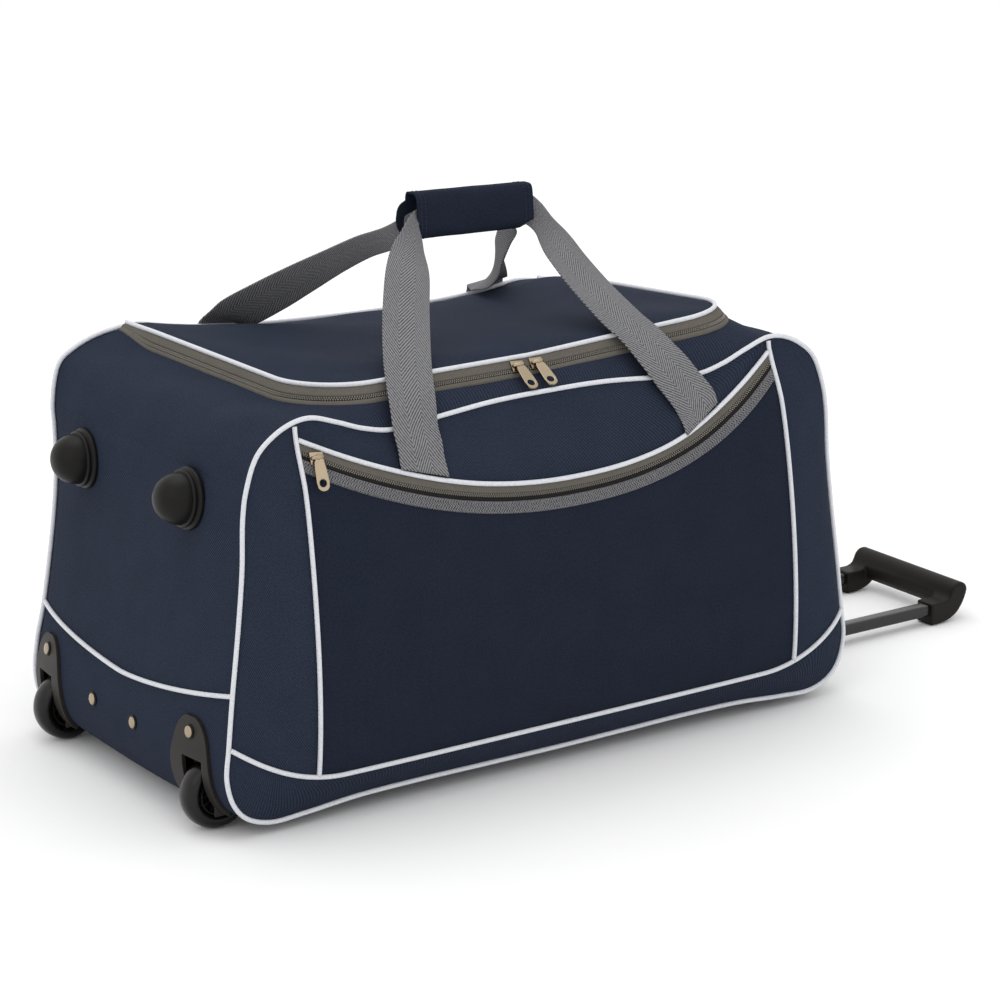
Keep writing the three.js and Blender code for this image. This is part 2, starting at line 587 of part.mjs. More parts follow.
function strip(low, high, rows, shape) {
  return patch(low, high, between(low[0], high[0], rows), between(last(low), last(high), rows), shape);
}
const yokeGrid = strip(pocketTop, frontEdge(YOKE_TOP), 4, liftFront);
const tapeGrid = strip(tapeLow, pocketTop, 2);
const bindingGrid = strip(bindingLow, tapeLow, 2);
const pocketBottom = steps(leftSeam[0].x, rightSeam[0].x, YOKE_TOP.length).map((x) => onFront(x, bandZ(x)));
const pocketSide = (seamX, top) => steps(bandZ(seamX(BAND.z)), top.z, 6).map((z) => onFront(seamX(z), z));
const pocketLeftSide = pocketSide(leftSeamX, bindingLow[0]);
const pocketRightSide = pocketSide(rightSeamX, last(bindingLow));
pocketBottom[0] = leftSeam[0];
pocketBottom[pocketBottom.length - 1] = rightSeam[0];
pocketLeftSide[0] = leftSeam[0];
pocketRightSide[0] = rightSeam[0];
pocketLeftSide[5] = bindingLow[0];
pocketRightSide[5] = last(bindingLow);
const pocketGrid = patch(pocketBottom, bindingLow, pocketLeftSide, pocketRightSide, liftFront);

const bandBottom = frontEdge(bottomRun("band"));
const bandLine = [...frontLeft[0], ...pocketBottom.slice(1), ...[...frontRight[0]].reverse().slice(1)];
const bandGrid = strip(bandBottom, bandLine, 3, liftFront);

const backGrid = patch(
  backEdge(bottomRun("band")),
  backEdge(topRun("corner", "corner")),
  backEdge(outlineRun("band", "corner", -1)),
  backEdge(outlineRun("band", "corner", 1)),
  liftBack,
);

// Stations up one end of the bag at a depth. Above the toe they slide down with the dip of the end's
// piping, which parts the lower corner from the end panel.
function endColumn(side, y) {
  const run = outlineRun("base", "shoulder", side);
  const column = run.map((row) => gussetPoint(row, y));
  const indexOf = (mark) => run.findIndex((row) => row.mark === mark);
  const [toe, piping] = [indexOf("toe"), indexOf("endPiping")];
  const reach = column.slice(toe).map((p) => ({ x: p.x, z: p.z }));
  const dip = endPipingZ(y);
  return column.map((p, i) => {
    if (i <= toe) return p;
    const [from, to] = i <= piping ? [toe, piping] : [piping, column.length - 1];
    const share = (p.z - column[from].z) / (column[to].z - column[from].z);
    const z = i <= piping ? mix(column[toe].z, dip, share) : mix(dip, last(column).z, share);
    return point(readTable(reach, "z", "x", z), y, z);
  });
}

// Grids of one end: its lower corner, its end panel, and the lines that its neighbours share.
function endGrids(side) {
  const columns = depths.map((y) => endColumn(side, y));
  const rows = columns[0].map((_, j) => columns.map((column) => column[j]));
  const piping = rowAt("endPiping") - rowAt("base");
  return {
    low: rows.slice(0, piping + 1),
    wall: rows.slice(piping),
    pipingLine: rows[piping],
    shoulderLine: last(rows),
  };
}

const wheelEnd = endGrids(-1);
const handleEnd = endGrids(1);
const baseRun = bottomRun("base");
const baseGrid = depths.map((y) => baseRun.map((row) => gussetPoint(row, y)));

const lidTop = lidEdge(0, 0);
const zipLow = lidEdge(LID.step, LID.drop);
const lidRun = topRun("pocketRight", "pocketRight");

function shoulderGrid(side, end, zipSide) {
  const rows = outlineRun("shoulder", "pocketRight", side);
  const inner = [...zipSide].reverse();
  const front = [...gussetEdge(rows, -GUSSET_Y), inner[0]];
  const back = [...gussetEdge(rows, GUSSET_Y), last(inner)];
  back[back.length - 2].lerp(back[back.length - 3], SHOULDER_TUCK);
  const grid = patch(front, back, end.shoulderLine, inner);
  return grid[0].map((_, i) => grid.map((row) => row[i]));
}
const wheelShoulder = shoulderGrid(-1, wheelEnd, zipLow.left);
const handleShoulder = shoulderGrid(1, handleEnd, zipLow.right);
const frontStrip = strip(gussetEdge(lidRun, -GUSSET_Y), zipLow.front, 3);

const lidBack = gussetEdge(lidRun, GUSSET_Y);
lidBack[0] = lidTop.left[0].clone();
lidBack[lidBack.length - 1] = lidTop.right[0].clone();
const lidGrid = patch(
  lidTop.front,
  lidBack,
  [...lidTop.left].reverse(),
  [...lidTop.right].reverse(),
  (p, u, v) => point(p.x, p.y, p.z + LID.crown * (1 - (2 * u - 1) ** 4) * (1 - (2 * v - 1) ** 4)),
);
const round = (edge) => [...edge.left, ...edge.front.slice(1), ...[...edge.right].reverse().slice(1)];
const zipGrid = strip(round(zipLow), round(lidTop), 2);

// The assembly

const bag = new THREE.Group();
function add(name, geometry, material, at) {
  const mesh = new THREE.Mesh(geometry, material);
  mesh.name = name;
  if (at) mesh.position.copy(at);
  bag.add(mesh);
  return mesh;
}

// Places of the hard fittings that the cloth is cut for

// The end leans a little in the photo, so its fittings have places of their own on each side.
const SIDES = [
  { name: "front", y: -1, wheelY: -142, shieldY: -137, rivetY: -32, bumperY: -101, bumperZ: 294 },
  { name: "back", y: 1, wheelY: 148, shieldY: 146, rivetY: 48, bumperY: 108, bumperZ: 284 },
];
const wheelMiddle = (side) => point(WHEEL.x, side.wheelY, WHEEL.radius);

function shieldSheet(side, low, high, grow) {
  const middle = side.shieldY;
  const wide = 5;
  const grid = SHIELD_ROWS.map((row, j) => {
    const stretch = j === 0 ? grow : j === SHIELD_ROWS.length - 1 ? -grow : 0;
    const half = row.half + grow;
    return steps(-1, 1, wide).map((t) => seatOn(wheelEnd.low, middle + t * half, row.z + stretch).p);
  });
  return sheet(grid, high, low, 0, 0);
}

function wellBox(side, grow, inside) {
  const wall = inside ? WELL.wall : 0;
  const y = side.wheelY;
  const half = WELL.halfWidth - wall + grow;
  const past = inside || grow > 0 ? BELOW : 0;
  const low = point(WELL.frontX - past, y - half, WELL.bottom - past);
  return box(low, point(WELL.backX - wall + grow, y + half, WELL.top - wall + grow));
}
const alongY = (radius, half, middle) =>
  new THREE.CylinderGeometry(radius, radius, 2 * half, 12).translate(middle.x, middle.y, middle.z);

function wheelHousing(side) {
  const middle = wheelMiddle(side);
  const y = middle.y;
  const slot = box(
    point(WHEEL.x - BEYOND, y - SHIELD.slotHalf, -BELOW),
    point(WELL.backX - WELL.wall, y + SHIELD.slotHalf, SHIELD.slotTop - WELL.wall),
  );
  const bore = alongY(WHEEL.boreRadius, BELOW, middle);
  const shield = shieldSheet(side, -SHIELD.bed, SHIELD.thick, 0);
  return cut(join(shield, wellBox(side, 0, false)), wellBox(side, 0, true), slot, bore);
}

const guideBox = (side, grow) =>
  box(
    point(GUIDE.from, side.y * TUBE.y - TUBE.width / 2 - grow, TUBE.z - TUBE.height / 2 - grow),
    point(GUIDE.to, side.y * TUBE.y + TUBE.width / 2 + grow, TUBE.z + TUBE.height / 2 + grow),
  );
const guideOuter = GUIDE.play + GUIDE.wall;

// Body panels

add("front_panel_left", clothSheet(frontLeft), NAVY);
add("front_panel_right", clothSheet(frontRight), NAVY);
add("front_yoke", clothSheet(yokeGrid), NAVY);
add("front_pocket", clothSheet(pocketGrid), NAVY);
add("pocket_zip", clothSheet(tapeGrid), GREY_TAPE);
add("pocket_binding", clothSheet(bindingGrid), GREY_WEBBING);
add("front_lower_band", clothSheet(bandGrid), NAVY);
add("back_panel", clothSheet(backGrid), NAVY);

const bumperSeats = SIDES.map((side) => seatOn(wheelEnd.wall, side.bumperY, side.bumperZ));
const bumperHoles = bumperSeats.map(({ p, normal }) => {
  const [radius, half] = [BUMPER.stem + SEAT_GAP, BUMPER.holeHalf];
  const profile = [[0, -half], [radius, -half], [radius, half], [0, half]];
  return turned(profile, 12, normal).translate(p.x, p.y, p.z);
});
add("wheel_end_panel", cut(clothSheet(wheelEnd.wall), ...bumperHoles), NAVY);
add("handle_end_panel", clothSheet(handleEnd.wall), NAVY);
add("wheel_end_shoulder", clothSheet(wheelShoulder), NAVY);
add("handle_end_shoulder", clothSheet(handleShoulder), NAVY);
add("front_top_strip", clothSheet(frontStrip), NAVY);

const wheelCuts = SIDES.flatMap((side) => [
  shieldSheet(side, -SHIELD.bed - SHIELD.cutDeep, SHIELD.thick + SHIELD.cutDeep, SHIELD.cutWide),
  wellBox(side, CUT_GAP, false),
]);
add("wheel_end_lower", cut(clothSheet(wheelEnd.low), ...wheelCuts), NAVY);
const guideCuts = SIDES.map((side) => guideBox(side, guideOuter + CUT_GAP));
add("handle_end_lower", cut(clothSheet(handleEnd.low), ...guideCuts), NAVY);
add("base_panel", clothSheet(baseGrid), NAVY);
add("lid", clothSheet(lidGrid), NAVY);
add("main_zip", clothSheet(zipGrid), GREY_TAPE);

// White piping

const outlineLoop = [
  ...OUTLINE.map((row) => mirrored(row, 1)),
  ...OUTLINE.slice(0, -1).reverse().map((row) => mirrored(row, -1)),
];
function outlinePiping(side) {
  const loop = outlineLoop.map((row) => {
    const p = edgeAt(row, side * EDGE_Y);
    return p.addScaledVector(row.out, PIPING.out).add(point(0, side * PIPING.proud, 0));
  });
  return roundTube(trimmed(loop, 0.5), PIPING.radius, PIPING.sides);
}
add("front_outline_piping", outlinePiping(-1), WHITE);
add("back_outline_piping", outlinePiping(1), WHITE);

// Piping laid on a seam of a grid's edge line, clear of what crosses its ends.
function seamPiping(line, grid, pick, trim = PIPING.trim, lean = point(0, 0, 0)) {
  const normals = pick(gridNormals(grid));
  const raised = line.map((p, i) => {
    const side = normals[i].dot(p.clone().sub(BAG_MIDDLE)) < 0 ? -1 : 1;
    const out = normals[i].clone().multiplyScalar(side).add(lean).normalize();
    return p.clone().addScaledVector(out, PIPING.lift);
  });
  return roundTube(trimmed(raised, trim), PIPING.radius, PIPING.sides);
}
add("front_left_piping", seamPiping(leftSeam, frontLeft, lastColumn), WHITE);
add("front_right_piping", seamPiping(rightSeam, frontRight, lastColumn), WHITE);
add("front_band_piping", seamPiping(topRow(bandGrid), bandGrid, topRow, 1), WHITE);
add("pocket_piping", seamPiping(pocketTop, tapeGrid, topRow), WHITE);
add("wheel_end_piping", seamPiping(wheelEnd.pipingLine, wheelEnd.wall, (n) => n[0], 0.6), WHITE);
add("handle_end_piping", seamPiping(handleEnd.pipingLine, handleEnd.wall, (n) => n[0], 0.6), WHITE);
add("lid_piping", seamPiping(topRow(zipGrid), zipGrid, topRow, PIPING.trim, point(0, 0, 0.7)), WHITE);

// Carry straps and their wrap

function ribbon(stations) {
  const centres = stations.map((s) => point(s.x, s.y, s.z));
  const path = new THREE.CatmullRomCurve3(centres, false, "centripetal");
  const fine = 2;
  const count = (stations.length - 1) * fine + 1;
  const vertices = [];
  for (const i of range(count)) {
    const t = i / (count - 1);
    const at = t * (stations.length - 1);
    const low = Math.min(Math.floor(at), stations.length - 2);
    const [a, b] = [stations[low], stations[low + 1]];
    const blend = (key) => mix(a[key], b[key], at - low);
    const tangent = path.getTangent(t);
    const wide = point(blend("wx"), blend("wy"), blend("wz"));
    wide.addScaledVector(tangent, -wide.dot(tangent)).normalize();
    const face = wide.clone().cross(tangent).normalize();
    const middle = path.getPoint(t);
    for (const [w, f] of [[-1, -1], [1, -1], [1, 1], [-1, 1]]) {
      const corner = middle.clone().addScaledVector(wide, (w * blend("width")) / 2);
      corner.addScaledVector(tangent, (w * blend("skew")) / 2);
      vertices.push(corner.addScaledVector(face, (f * STRAP_THICK) / 2));
    }
  }
  const triangles = [0, 1, 2, 0, 2, 3];
  for (const i of range(count - 1)) {
    for (const k of range(4)) {
      const [a, b] = [4 * i + k, 4 * i + ((k + 1) % 4)];
      triangles.push(a, a + 4, b + 4, a, b + 4, b);
    }
  }
  const end = 4 * (count - 1);
  triangles.push(end, end + 2, end + 1, end, end + 3, end + 2);
  return geometryOf(vertices, triangles);
}
add("front_strap", ribbon(FRONT_STRAP), GREY_WEBBING);
add("back_strap", ribbon(BACK_STRAP), GREY_WEBBING);

function ovalPath(Kind, height, depth) {
  const oval = new Kind();
  const r = depth / 2;
  const h = height / 2 - r;
  oval.moveTo(r, -h);
  oval.lineTo(r, h);
  oval.absarc(0, h, r, 0, Math.PI, false);
  oval.lineTo(-r, -h);
  oval.absarc(0, -h, r, Math.PI, 2 * Math.PI, false);
  return oval;
}
function wrapGeometry() {
  const section = ovalPath(THREE.Shape, WRAP.height, WRAP.depth);
  section.holes.push(ovalPath(THREE.Path, WRAP.height - 2 * WRAP.wall, WRAP.depth - 2 * WRAP.wall));
  const length = WRAP.toX - WRAP.fromX;
  const tube = new THREE.ExtrudeGeometry(section, { depth: length, bevelEnabled: false, curveSegments: 6 });
  tube.applyMatrix4(new THREE.Matrix4().makeBasis(point(0, 1, 0), point(0, 0, 1), point(1, 0, 0)));
  tube.rotateX(-Math.atan(WRAP.lean));
  return tube;
}
add("grip_wrap", wrapGeometry(), NAVY, point(WRAP.fromX, WRAP.y, WRAP.z));

// Wheels, axles, housings and rivets

function tyreGeometry() {
  const half = WHEEL.width / 2;
  const crown = WHEEL.radius - half;
  const angles = steps(-Math.PI / 2, Math.PI / 2, 7);
  const tread = angles.map((a) => [crown + half * Math.cos(a), half * Math.sin(a)]);
  const inner = [[WHEEL.rimRadius, WHEEL.rimHalf], [WHEEL.rimRadius, -WHEEL.rimHalf]];
  const profile = [...tread, ...inner, tread[0]];
  return turned(profile, 20);
}
function hubGeometry() {
  const rimOut = WHEEL.rimRadius - SEAT_GAP;
  const ring = (out, inner, half) =>
    turned([[inner, -half], [out, -half], [out, half], [inner, half], [inner, -half]], 12);
  const low = point(HUB.spokeFrom, -HUB.spokeHalf, -HUB.spokeThick / 2);
  const high = point(rimOut - HUB.rimIn, HUB.spokeHalf, HUB.spokeThick / 2);
  const spokes = range(HUB.spokes).map((i) => box(low, high).rotateY((2 * i * Math.PI) / HUB.spokes));
  const rim = ring(rimOut, rimOut - HUB.rim, HUB.rimHalf);
  return join(rim, ring(HUB.boss, WHEEL.boreRadius, HUB.bossHalf), ...spokes);
}
function rivetGeometry(axis, washer) {
  const head = RIVET.radius;
  const base = washer ? RIVET.washerThick : 0;
  const foot = washer ? [[0, 0], [RIVET.washer, 0], [RIVET.washer, base]] : [[0, 0]];
  const dome = [[head, base], [head * 0.8, base + RIVET.height * 0.7], [0, base + RIVET.height]];
  return turned([...foot, ...dome], 10, axis);
}
for (const side of SIDES) {
  const middle = wheelMiddle(side);
  add(`wheel_tyre_${side.name}`, tyreGeometry(), TYRE, middle);
  add(`wheel_hub_${side.name}`, hubGeometry(), BLACK_PLASTIC, middle);
  const axle = alongY(WHEEL.axleRadius, WELL.halfWidth + WHEEL.axlePast, point(0, 0, 0));
  add(`wheel_axle_${side.name}`, axle, NICKEL, middle);
  add(`wheel_housing_${side.name}`, wheelHousing(side), SHIELD_PLASTIC);
  const plate = seatOn(wheelEnd.low, side.shieldY, SHIELD.rivetZ);
  const plateTop = plate.p.clone().addScaledVector(plate.normal, SHIELD.thick + RIVET.lift);
  add(`housing_rivet_${side.name}`, rivetGeometry(plate.normal, false), NICKEL, plateTop);
  const seat = seatOn(wheelEnd.low, side.rivetY, RIVET.z);
  const seatTop = seat.p.clone().addScaledVector(seat.normal, RIVET.lift);
  add(`end_rivet_${side.name}`, rivetGeometry(seat.normal, true), NICKEL, seatTop);
}

// Bumpers that the bag stands on when it is set on its wheel end

function bumperGeometry(axis) {
  const r = BUMPER.radius;
  const [wide, tall] = [r - BUMPER.domeIn, BUMPER.height - BUMPER.domeFrom];
  const domeAt = (angle) => [wide * Math.cos(angle), BUMPER.domeFrom + tall * Math.sin(angle)];
  const dome = steps(0, Math.PI / 2, 5).map(domeAt);
  last(dome)[0] = 0;
  const stem = [[0, -BUMPER.stemLength], [BUMPER.stem, -BUMPER.stemLength], [BUMPER.stem, 0]];
  const flange = [[r, 0], [r, BUMPER.lip], [r - BUMPER.stepIn, BUMPER.stepTop]];
  return turned([...stem, ...flange, ...dome], 14, axis);
}
SIDES.forEach((side, i) => {
  const { p, normal } = bumperSeats[i];
  const seat = p.clone().addScaledVector(normal, BUMPER.bed);
  add(`bumper_${side.name}`, bumperGeometry(normal), BLACK_PLASTIC, seat);
});

// Feet under the handle end

for (const side of SIDES) {
  const sole = [[0, 0], [FOOT.radius - FOOT.edge, 0], [FOOT.radius, FOOT.edge]];
  const top = [[FOOT.radius - FOOT.taper, FOOT.height], [0, FOOT.height]];
  const foot = turned([...sole, ...top], 12, point(0, 0, 1));
  add(`foot_${side.name}`, foot, BLACK_PLASTIC, point(FOOT.x, side.y * FOOT.y, 0));
}

// Trolley handle: two guides fixed in the base, two tubes that slide in them, and the grip

function rectangle(Kind, width, height) {
  const outline = new Kind();
  outline.moveTo(-width / 2, -height / 2);
  outline.lineTo(width / 2, -height / 2);
  outline.lineTo(width / 2, height / 2);
  outline.lineTo(-width / 2, height / 2);
  outline.closePath();
  return outline;
}
function boxTube(width, height, wall, length) {
  const section = rectangle(THREE.Shape, width, height);
  section.holes.push(rectangle(THREE.Path, width - 2 * wall, height - 2 * wall));
  const tube = new THREE.ExtrudeGeometry(section, { depth: length, bevelEnabled: false });
  return tube.applyMatrix4(new THREE.Matrix4().makeBasis(point(0, 1, 0), point(0, 0, 1), point(1, 0, 0)));
}
for (const side of SIDES) {
  const outer = 2 * guideOuter;
  const guide = boxTube(TUBE.width + outer, TUBE.height + outer, GUIDE.wall, GUIDE.to - GUIDE.from);
  add(`trolley_guide_${side.name}`, guide, TUBE_METAL, point(GUIDE.from, side.y * TUBE.y, TUBE.z));
  const tube = boxTube(TUBE.width, TUBE.height, TUBE.wall, TUBE.to - TUBE.from);
  add(`trolley_tube_${side.name}`, tube, TUBE_METAL, point(TUBE.from, side.y * TUBE.y, TUBE.z));
}

function gripGeometry() {
  const arm = new THREE.Shape();
  arm.moveTo(GRIP.socketX, GRIP_SIDE[0].z);
  for (const row of GRIP_SIDE) arm.quadraticCurveTo(row.bendX, row.bendZ, row.x, row.z);
  arm.lineTo(GRIP.socketX, last(GRIP_SIDE).z);
  arm.closePath();
  const upright = new THREE.Matrix4().makeBasis(point(1, 0, 0), point(0, 0, 1), point(0, -1, 0));
  const slab = (shape, fromY, toY) =>
    new THREE.ExtrudeGeometry(shape, { depth: toY - fromY, bevelEnabled: false, curveSegments: 3 })
      .applyMatrix4(upright)
      .translate(0, toY, 0);
  const bar = new THREE.Shape();
  const turn = 2 * Math.PI;
  bar.absellipse(GRIP.barX, GRIP.barZ, GRIP.barHalfX, GRIP.barHalfZ, 0, turn, false, GRIP.barLean);
  const barHalf = GRIP.innerY + GRIP.barIn;
  const arms = [slab(arm, -GRIP.outerY, -GRIP.innerY), slab(arm, GRIP.innerY, GRIP.outerY)];
  const half = { width: TUBE.width / 2 + SEAT_GAP, height: TUBE.height / 2 + SEAT_GAP };
  const sockets = SIDES.map((side) =>
    box(
      point(GRIP.socketX - GRIP.socketPast, side.y * TUBE.y - half.width, TUBE.z - half.height),
      point(TUBE.to + SEAT_GAP, side.y * TUBE.y + half.width, TUBE.z + half.height),
    ),
  );
  return cut(join(...arms, slab(bar, -barHalf, barHalf)), ...sockets);
}
add("trolley_grip", gripGeometry(), BLACK_PLASTIC);

// Zip sliders and their pull tabs. Own frame: X along the zip, Y away from the cloth, Z down the tab.
// The tabs of the main zip lean out, to clear the cloth below it.

function sliderGeometry() {
  const half = SLIDER.length / 2;
  const body = box(point(-half, 0, -SLIDER.width / 2), point(half, SLIDER.thick, SLIDER.width / 2));
  const ears = [-1, 1].map((side) => {
    const x = side * (half - SLIDER.ear / 2);
    return box(
      point(x - SLIDER.ear / 2, SLIDER.thick / 2, -SLIDER.earDepth / 2),
      point(x + SLIDER.ear / 2, SLIDER.thick + SLIDER.earHeight, SLIDER.earDepth / 2),
    );
  });
  const pin = new THREE.CylinderGeometry(PULL.pinRadius, PULL.pinRadius, SLIDER.length - SLIDER.ear / 2, 8)
    .rotateZ(Math.PI / 2)
    .translate(0, SLIDER.thick + PULL.pinRise, 0);
  return join(body, ...ears, pin);
}

// The tab turns on the slider's pin in a barrel at its upper end.
function pullGeometry() {
  const half = PULL.width / 2;
  const neck = SLIDER.length / 2 - SLIDER.ear - PULL.play;
  const foot = PULL.length - half;
  const plate = new THREE.Shape();
  plate.moveTo(-neck, PULL.neckFrom);
  plate.lineTo(neck, PULL.neckFrom);
  plate.lineTo(neck, PULL.neckTo);
  plate.lineTo(half, PULL.wideFrom);
  plate.lineTo(half, foot);
  plate.absarc(0, foot, half, 0, Math.PI, false);
  plate.lineTo(-half, PULL.wideFrom);
  plate.lineTo(-neck, PULL.neckTo);
  plate.closePath();
  plate.holes.push(new THREE.Path().absarc(0, foot, PULL.hole, 0, 2 * Math.PI, true));
  const flat = new THREE.ExtrudeGeometry(plate, { depth: PULL.thick, bevelEnabled: false, curveSegments: 4 })
    .translate(0, 0, -PULL.thick / 2)
    .applyMatrix4(new THREE.Matrix4().makeBasis(point(1, 0, 0), point(0, 0, 1), point(0, -1, 0)));
  const { bore, barrel } = PULL;
  const ring = [[bore, -neck], [barrel, -neck], [barrel, neck], [bore, neck], [bore, -neck]];
  return join(flat, turned(ring, 8, point(1, 0, 0)));
}

function addZipPull(name, seat, along, out, lean) {
  const down = along.clone().cross(out).normalize();
  const basis = new THREE.Matrix4().makeBasis(along, out, down);
  const tab = basis.clone().multiply(new THREE.Matrix4().makeRotationX(-lean));
  const base = seat.clone().addScaledVector(out, SLIDER.lift);
  const pin = base.clone().addScaledVector(out, SLIDER.thick + PULL.pinRise);
  add(`${name}_slider`, sliderGeometry().applyMatrix4(basis), NICKEL, base);
  add(`${name}_pull`, pullGeometry().applyMatrix4(tab), NICKEL, pin);
}
for (const { name, x } of MAIN_PULLS) {
  const [low, high] = [zipLow.front, lidTop.front];
  const i = low.findIndex((p) => p.x > x) - 1;
  const share = (x - low[i].x) / (low[i + 1].x - low[i].x);
  const foot = low[i].clone().lerp(low[i + 1], share);
  const head = high[i].clone().lerp(high[i + 1], share);
  const along = low[i + 1].clone().sub(low[i]).normalize();
  const out = along.clone().cross(head.clone().sub(foot)).normalize();
  addZipPull(name, foot.lerp(head, 0.5), along, out, PULL.lean);
}
{
  const { name, x, below } = POCKET_PULL;
  const z = pocketZ(x) - below;
  const reach = SLIDER.width / 2;
  const right = onFront(x + reach, z).sub(onFront(x - reach, z)).normalize();
  const up = onFront(x, z + reach).sub(onFront(x, z - reach)).normalize();
  addZipPull(name, onFront(x, z), right, right.clone().cross(up).normalize(), 0);
}

bag.position.set(-ORIGIN.x, -ORIGIN.y, 0);
const root = new THREE.Group();
root.add(bag);
export default root;
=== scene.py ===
"""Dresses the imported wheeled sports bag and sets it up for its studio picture.

Sizes are in millimetres about the middle of the bag. `placed` moves them into the part's frame, in metres.
"""
from __future__ import annotations

import logging
import math
from dataclasses import dataclass
from enum import Enum
from functools import reduce
from typing import Sequence

import bmesh
import bpy
import numpy as np
from mathutils import Matrix, Vector


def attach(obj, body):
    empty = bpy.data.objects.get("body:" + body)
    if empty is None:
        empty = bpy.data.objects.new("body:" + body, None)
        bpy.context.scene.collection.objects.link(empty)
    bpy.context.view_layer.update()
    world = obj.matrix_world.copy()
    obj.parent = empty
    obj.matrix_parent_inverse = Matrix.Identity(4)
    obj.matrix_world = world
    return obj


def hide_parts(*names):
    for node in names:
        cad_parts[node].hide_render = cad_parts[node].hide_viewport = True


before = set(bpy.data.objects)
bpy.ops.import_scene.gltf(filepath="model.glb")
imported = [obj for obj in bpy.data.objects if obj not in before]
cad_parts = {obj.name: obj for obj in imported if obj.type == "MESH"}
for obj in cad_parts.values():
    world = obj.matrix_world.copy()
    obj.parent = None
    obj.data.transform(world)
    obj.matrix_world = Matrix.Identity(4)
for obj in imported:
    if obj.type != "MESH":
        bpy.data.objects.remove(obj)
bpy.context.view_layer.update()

LOG = logging.getLogger("sports_bag")
MM = 0.001
BAG_MIDDLE = np.array((-117.25, 4.2, 0.0))
BAG_HEART = np.array((0.0, 0.0, 190.0))
ANY_WAY = np.array((0.31, 0.77, 0.56))
CLOTH_MAP = "cloth_mm"
CLOTH_WALL = 1.6
WEB_WIDTH = 46.0
WHEEL_Y = (-142.0, 148.0)
TROLLEY_Y = 69.0
TROLLEY_Z = 15.7
Array = np.ndarray
Socket = bpy.types.NodeSocket
Colour = tuple[float, float, float]
Rows = tuple[tuple[float, ...], ...]
Profile = Sequence[tuple[float, float]]


class Body(Enum):
    """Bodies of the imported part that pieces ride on."""

    BAG = "bag"
    WHEEL_FRONT = "wheel_front"
    WHEEL_BACK = "wheel_back"
    TROLLEY = "trolley"
    MAIN_LEFT_TAB = "main_left_tab"
    MAIN_RIGHT_TAB = "main_right_tab"
    POCKET_TAB = "pocket_tab"


class Slot(Enum):
    """Material slots of the part's record."""

    CLOTH = "navy_cloth"
    PIPING = "white_piping"
    TAPE = "zip_tape"
    WEBBING = "webbing"
    PLASTIC = "black_plastic"
    SHIELD = "shield_plastic"
    TYRE = "tyre"
    TUBE = "tube_metal"
    NICKEL = "nickel"


class Mark(Enum):
    """Rows of the outline table where seams start, counted up from the middle of the base."""

    TOE = 7
    BAND = 9
    SHOULDER = 14
    CORNER = 15
    POCKET_LEFT = 17
    POCKET_RIGHT = 18
    TOP = 24


class End(Enum):
    """The two ends of the bag, by the sign of x."""

    WHEEL = -1
    HANDLE = 1


class Depth(Enum):
    """Which of a pair stands nearer the pocket side, by the sign of y."""

    FRONT = -1
    BACK = 1

    @property
    def tag(self) -> str:
        """Gives the word that ends the names of its pieces."""
        return self.name.lower()

    def pick(self, pair: tuple[float, float]) -> float:
        """Gives this one's value of a pair, front first."""
        return pair[self is Depth.BACK]


class Weave(Enum):
    """How the yarns of a cloth cross."""

    PLAIN = 2
    TWILL = 4
    HERRINGBONE = 0
    RIB = 1


def placed(points: Array) -> Array:
    """Moves the bag's millimetre points into the part's frame, in metres."""
    return (np.asarray(points, float) + BAG_MIDDLE) * MM


def mix(first: Array, second: Array, share: Array) -> Array:
    """Goes from the first value to the second by a share of 0 to 1."""
    return first + (second - first) * share


def eased(share: Array) -> Array:
    """Eases a share from 0 to 1 with level ends."""
    held = np.clip(share, 0.0, 1.0)
    return held * held * (3.0 - 2.0 * held)


def unit(vectors: Array) -> Array:
    """Scales vectors to a length of one."""
    return vectors / np.maximum(np.linalg.norm(vectors, axis=-1, keepdims=True), 1e-9)


def stacked(*columns: Array) -> Array:
    """Puts x, y and z arrays together as points."""
    return np.stack(np.broadcast_arrays(*columns), axis=-1)


def run_lengths(points: Array) -> Array:
    """Gives the length run so far at each point of a line."""
    steps = np.linalg.norm(np.diff(points, axis=0), axis=1)
    return np.concatenate([[0.0], np.cumsum(steps)])


def evenly(points: Array, count: int) -> Array:
    """Spaces points evenly along a line.

    Args:
        points: The line, one point a row.
        count: How many points to give back.

    Returns:
        The evenly spaced points.
    """
    along = run_lengths(points)
    wanted = np.linspace(0.0, along[-1], count)
    return np.stack([np.interp(wanted, along, points[:, axis]) for axis in range(points.shape[1])], axis=-1)


def patch(bottom: Array, top: Array, left: Array, right: Array) -> Array:
    """Fills four edge lines with a smooth grid of points.

    Args:
        bottom: Points from left to right along the first row.
        top: Points from left to right along the last row.
        left: Points from the first row to the last on the left.
        right: Points from the first row to the last on the right.

    Returns:
        The grid, rows by columns by three.
    """
    across = np.linspace(0.0, 1.0, len(bottom))[None, :, None]
    upward = np.linspace(0.0, 1.0, len(left))[:, None, None]
    rows = mix(bottom[None], top[None], upward)
    columns = mix(left[:, None], right[:, None], across)
    corners = mix(mix(bottom[0], bottom[-1], across), mix(top[0], top[-1], across), upward)
    return rows + columns - corners


def plain_normals(grid: Array) -> Array:
    """Gives each grid point's normal, on whichever side the rows and columns put it."""
    return unit(np.cross(np.gradient(grid, axis=1), np.gradient(grid, axis=0)))


def faces_in(grid: Array, heart: Array) -> bool:
    """Tells whether a grid's plain normals point towards the heart of what it encloses."""
    middle = tuple(size // 2 for size in grid.shape[:2])
    return bool(np.dot(plain_normals(grid)[middle], grid[middle] - heart) < 0)


def grid_normals(grid: Array, heart: Array = BAG_HEART) -> Array:
    """Gives each grid point's normal, turned away from a heart."""
    return plain_normals(grid) * (-1.0 if faces_in(grid, heart) else 1.0)


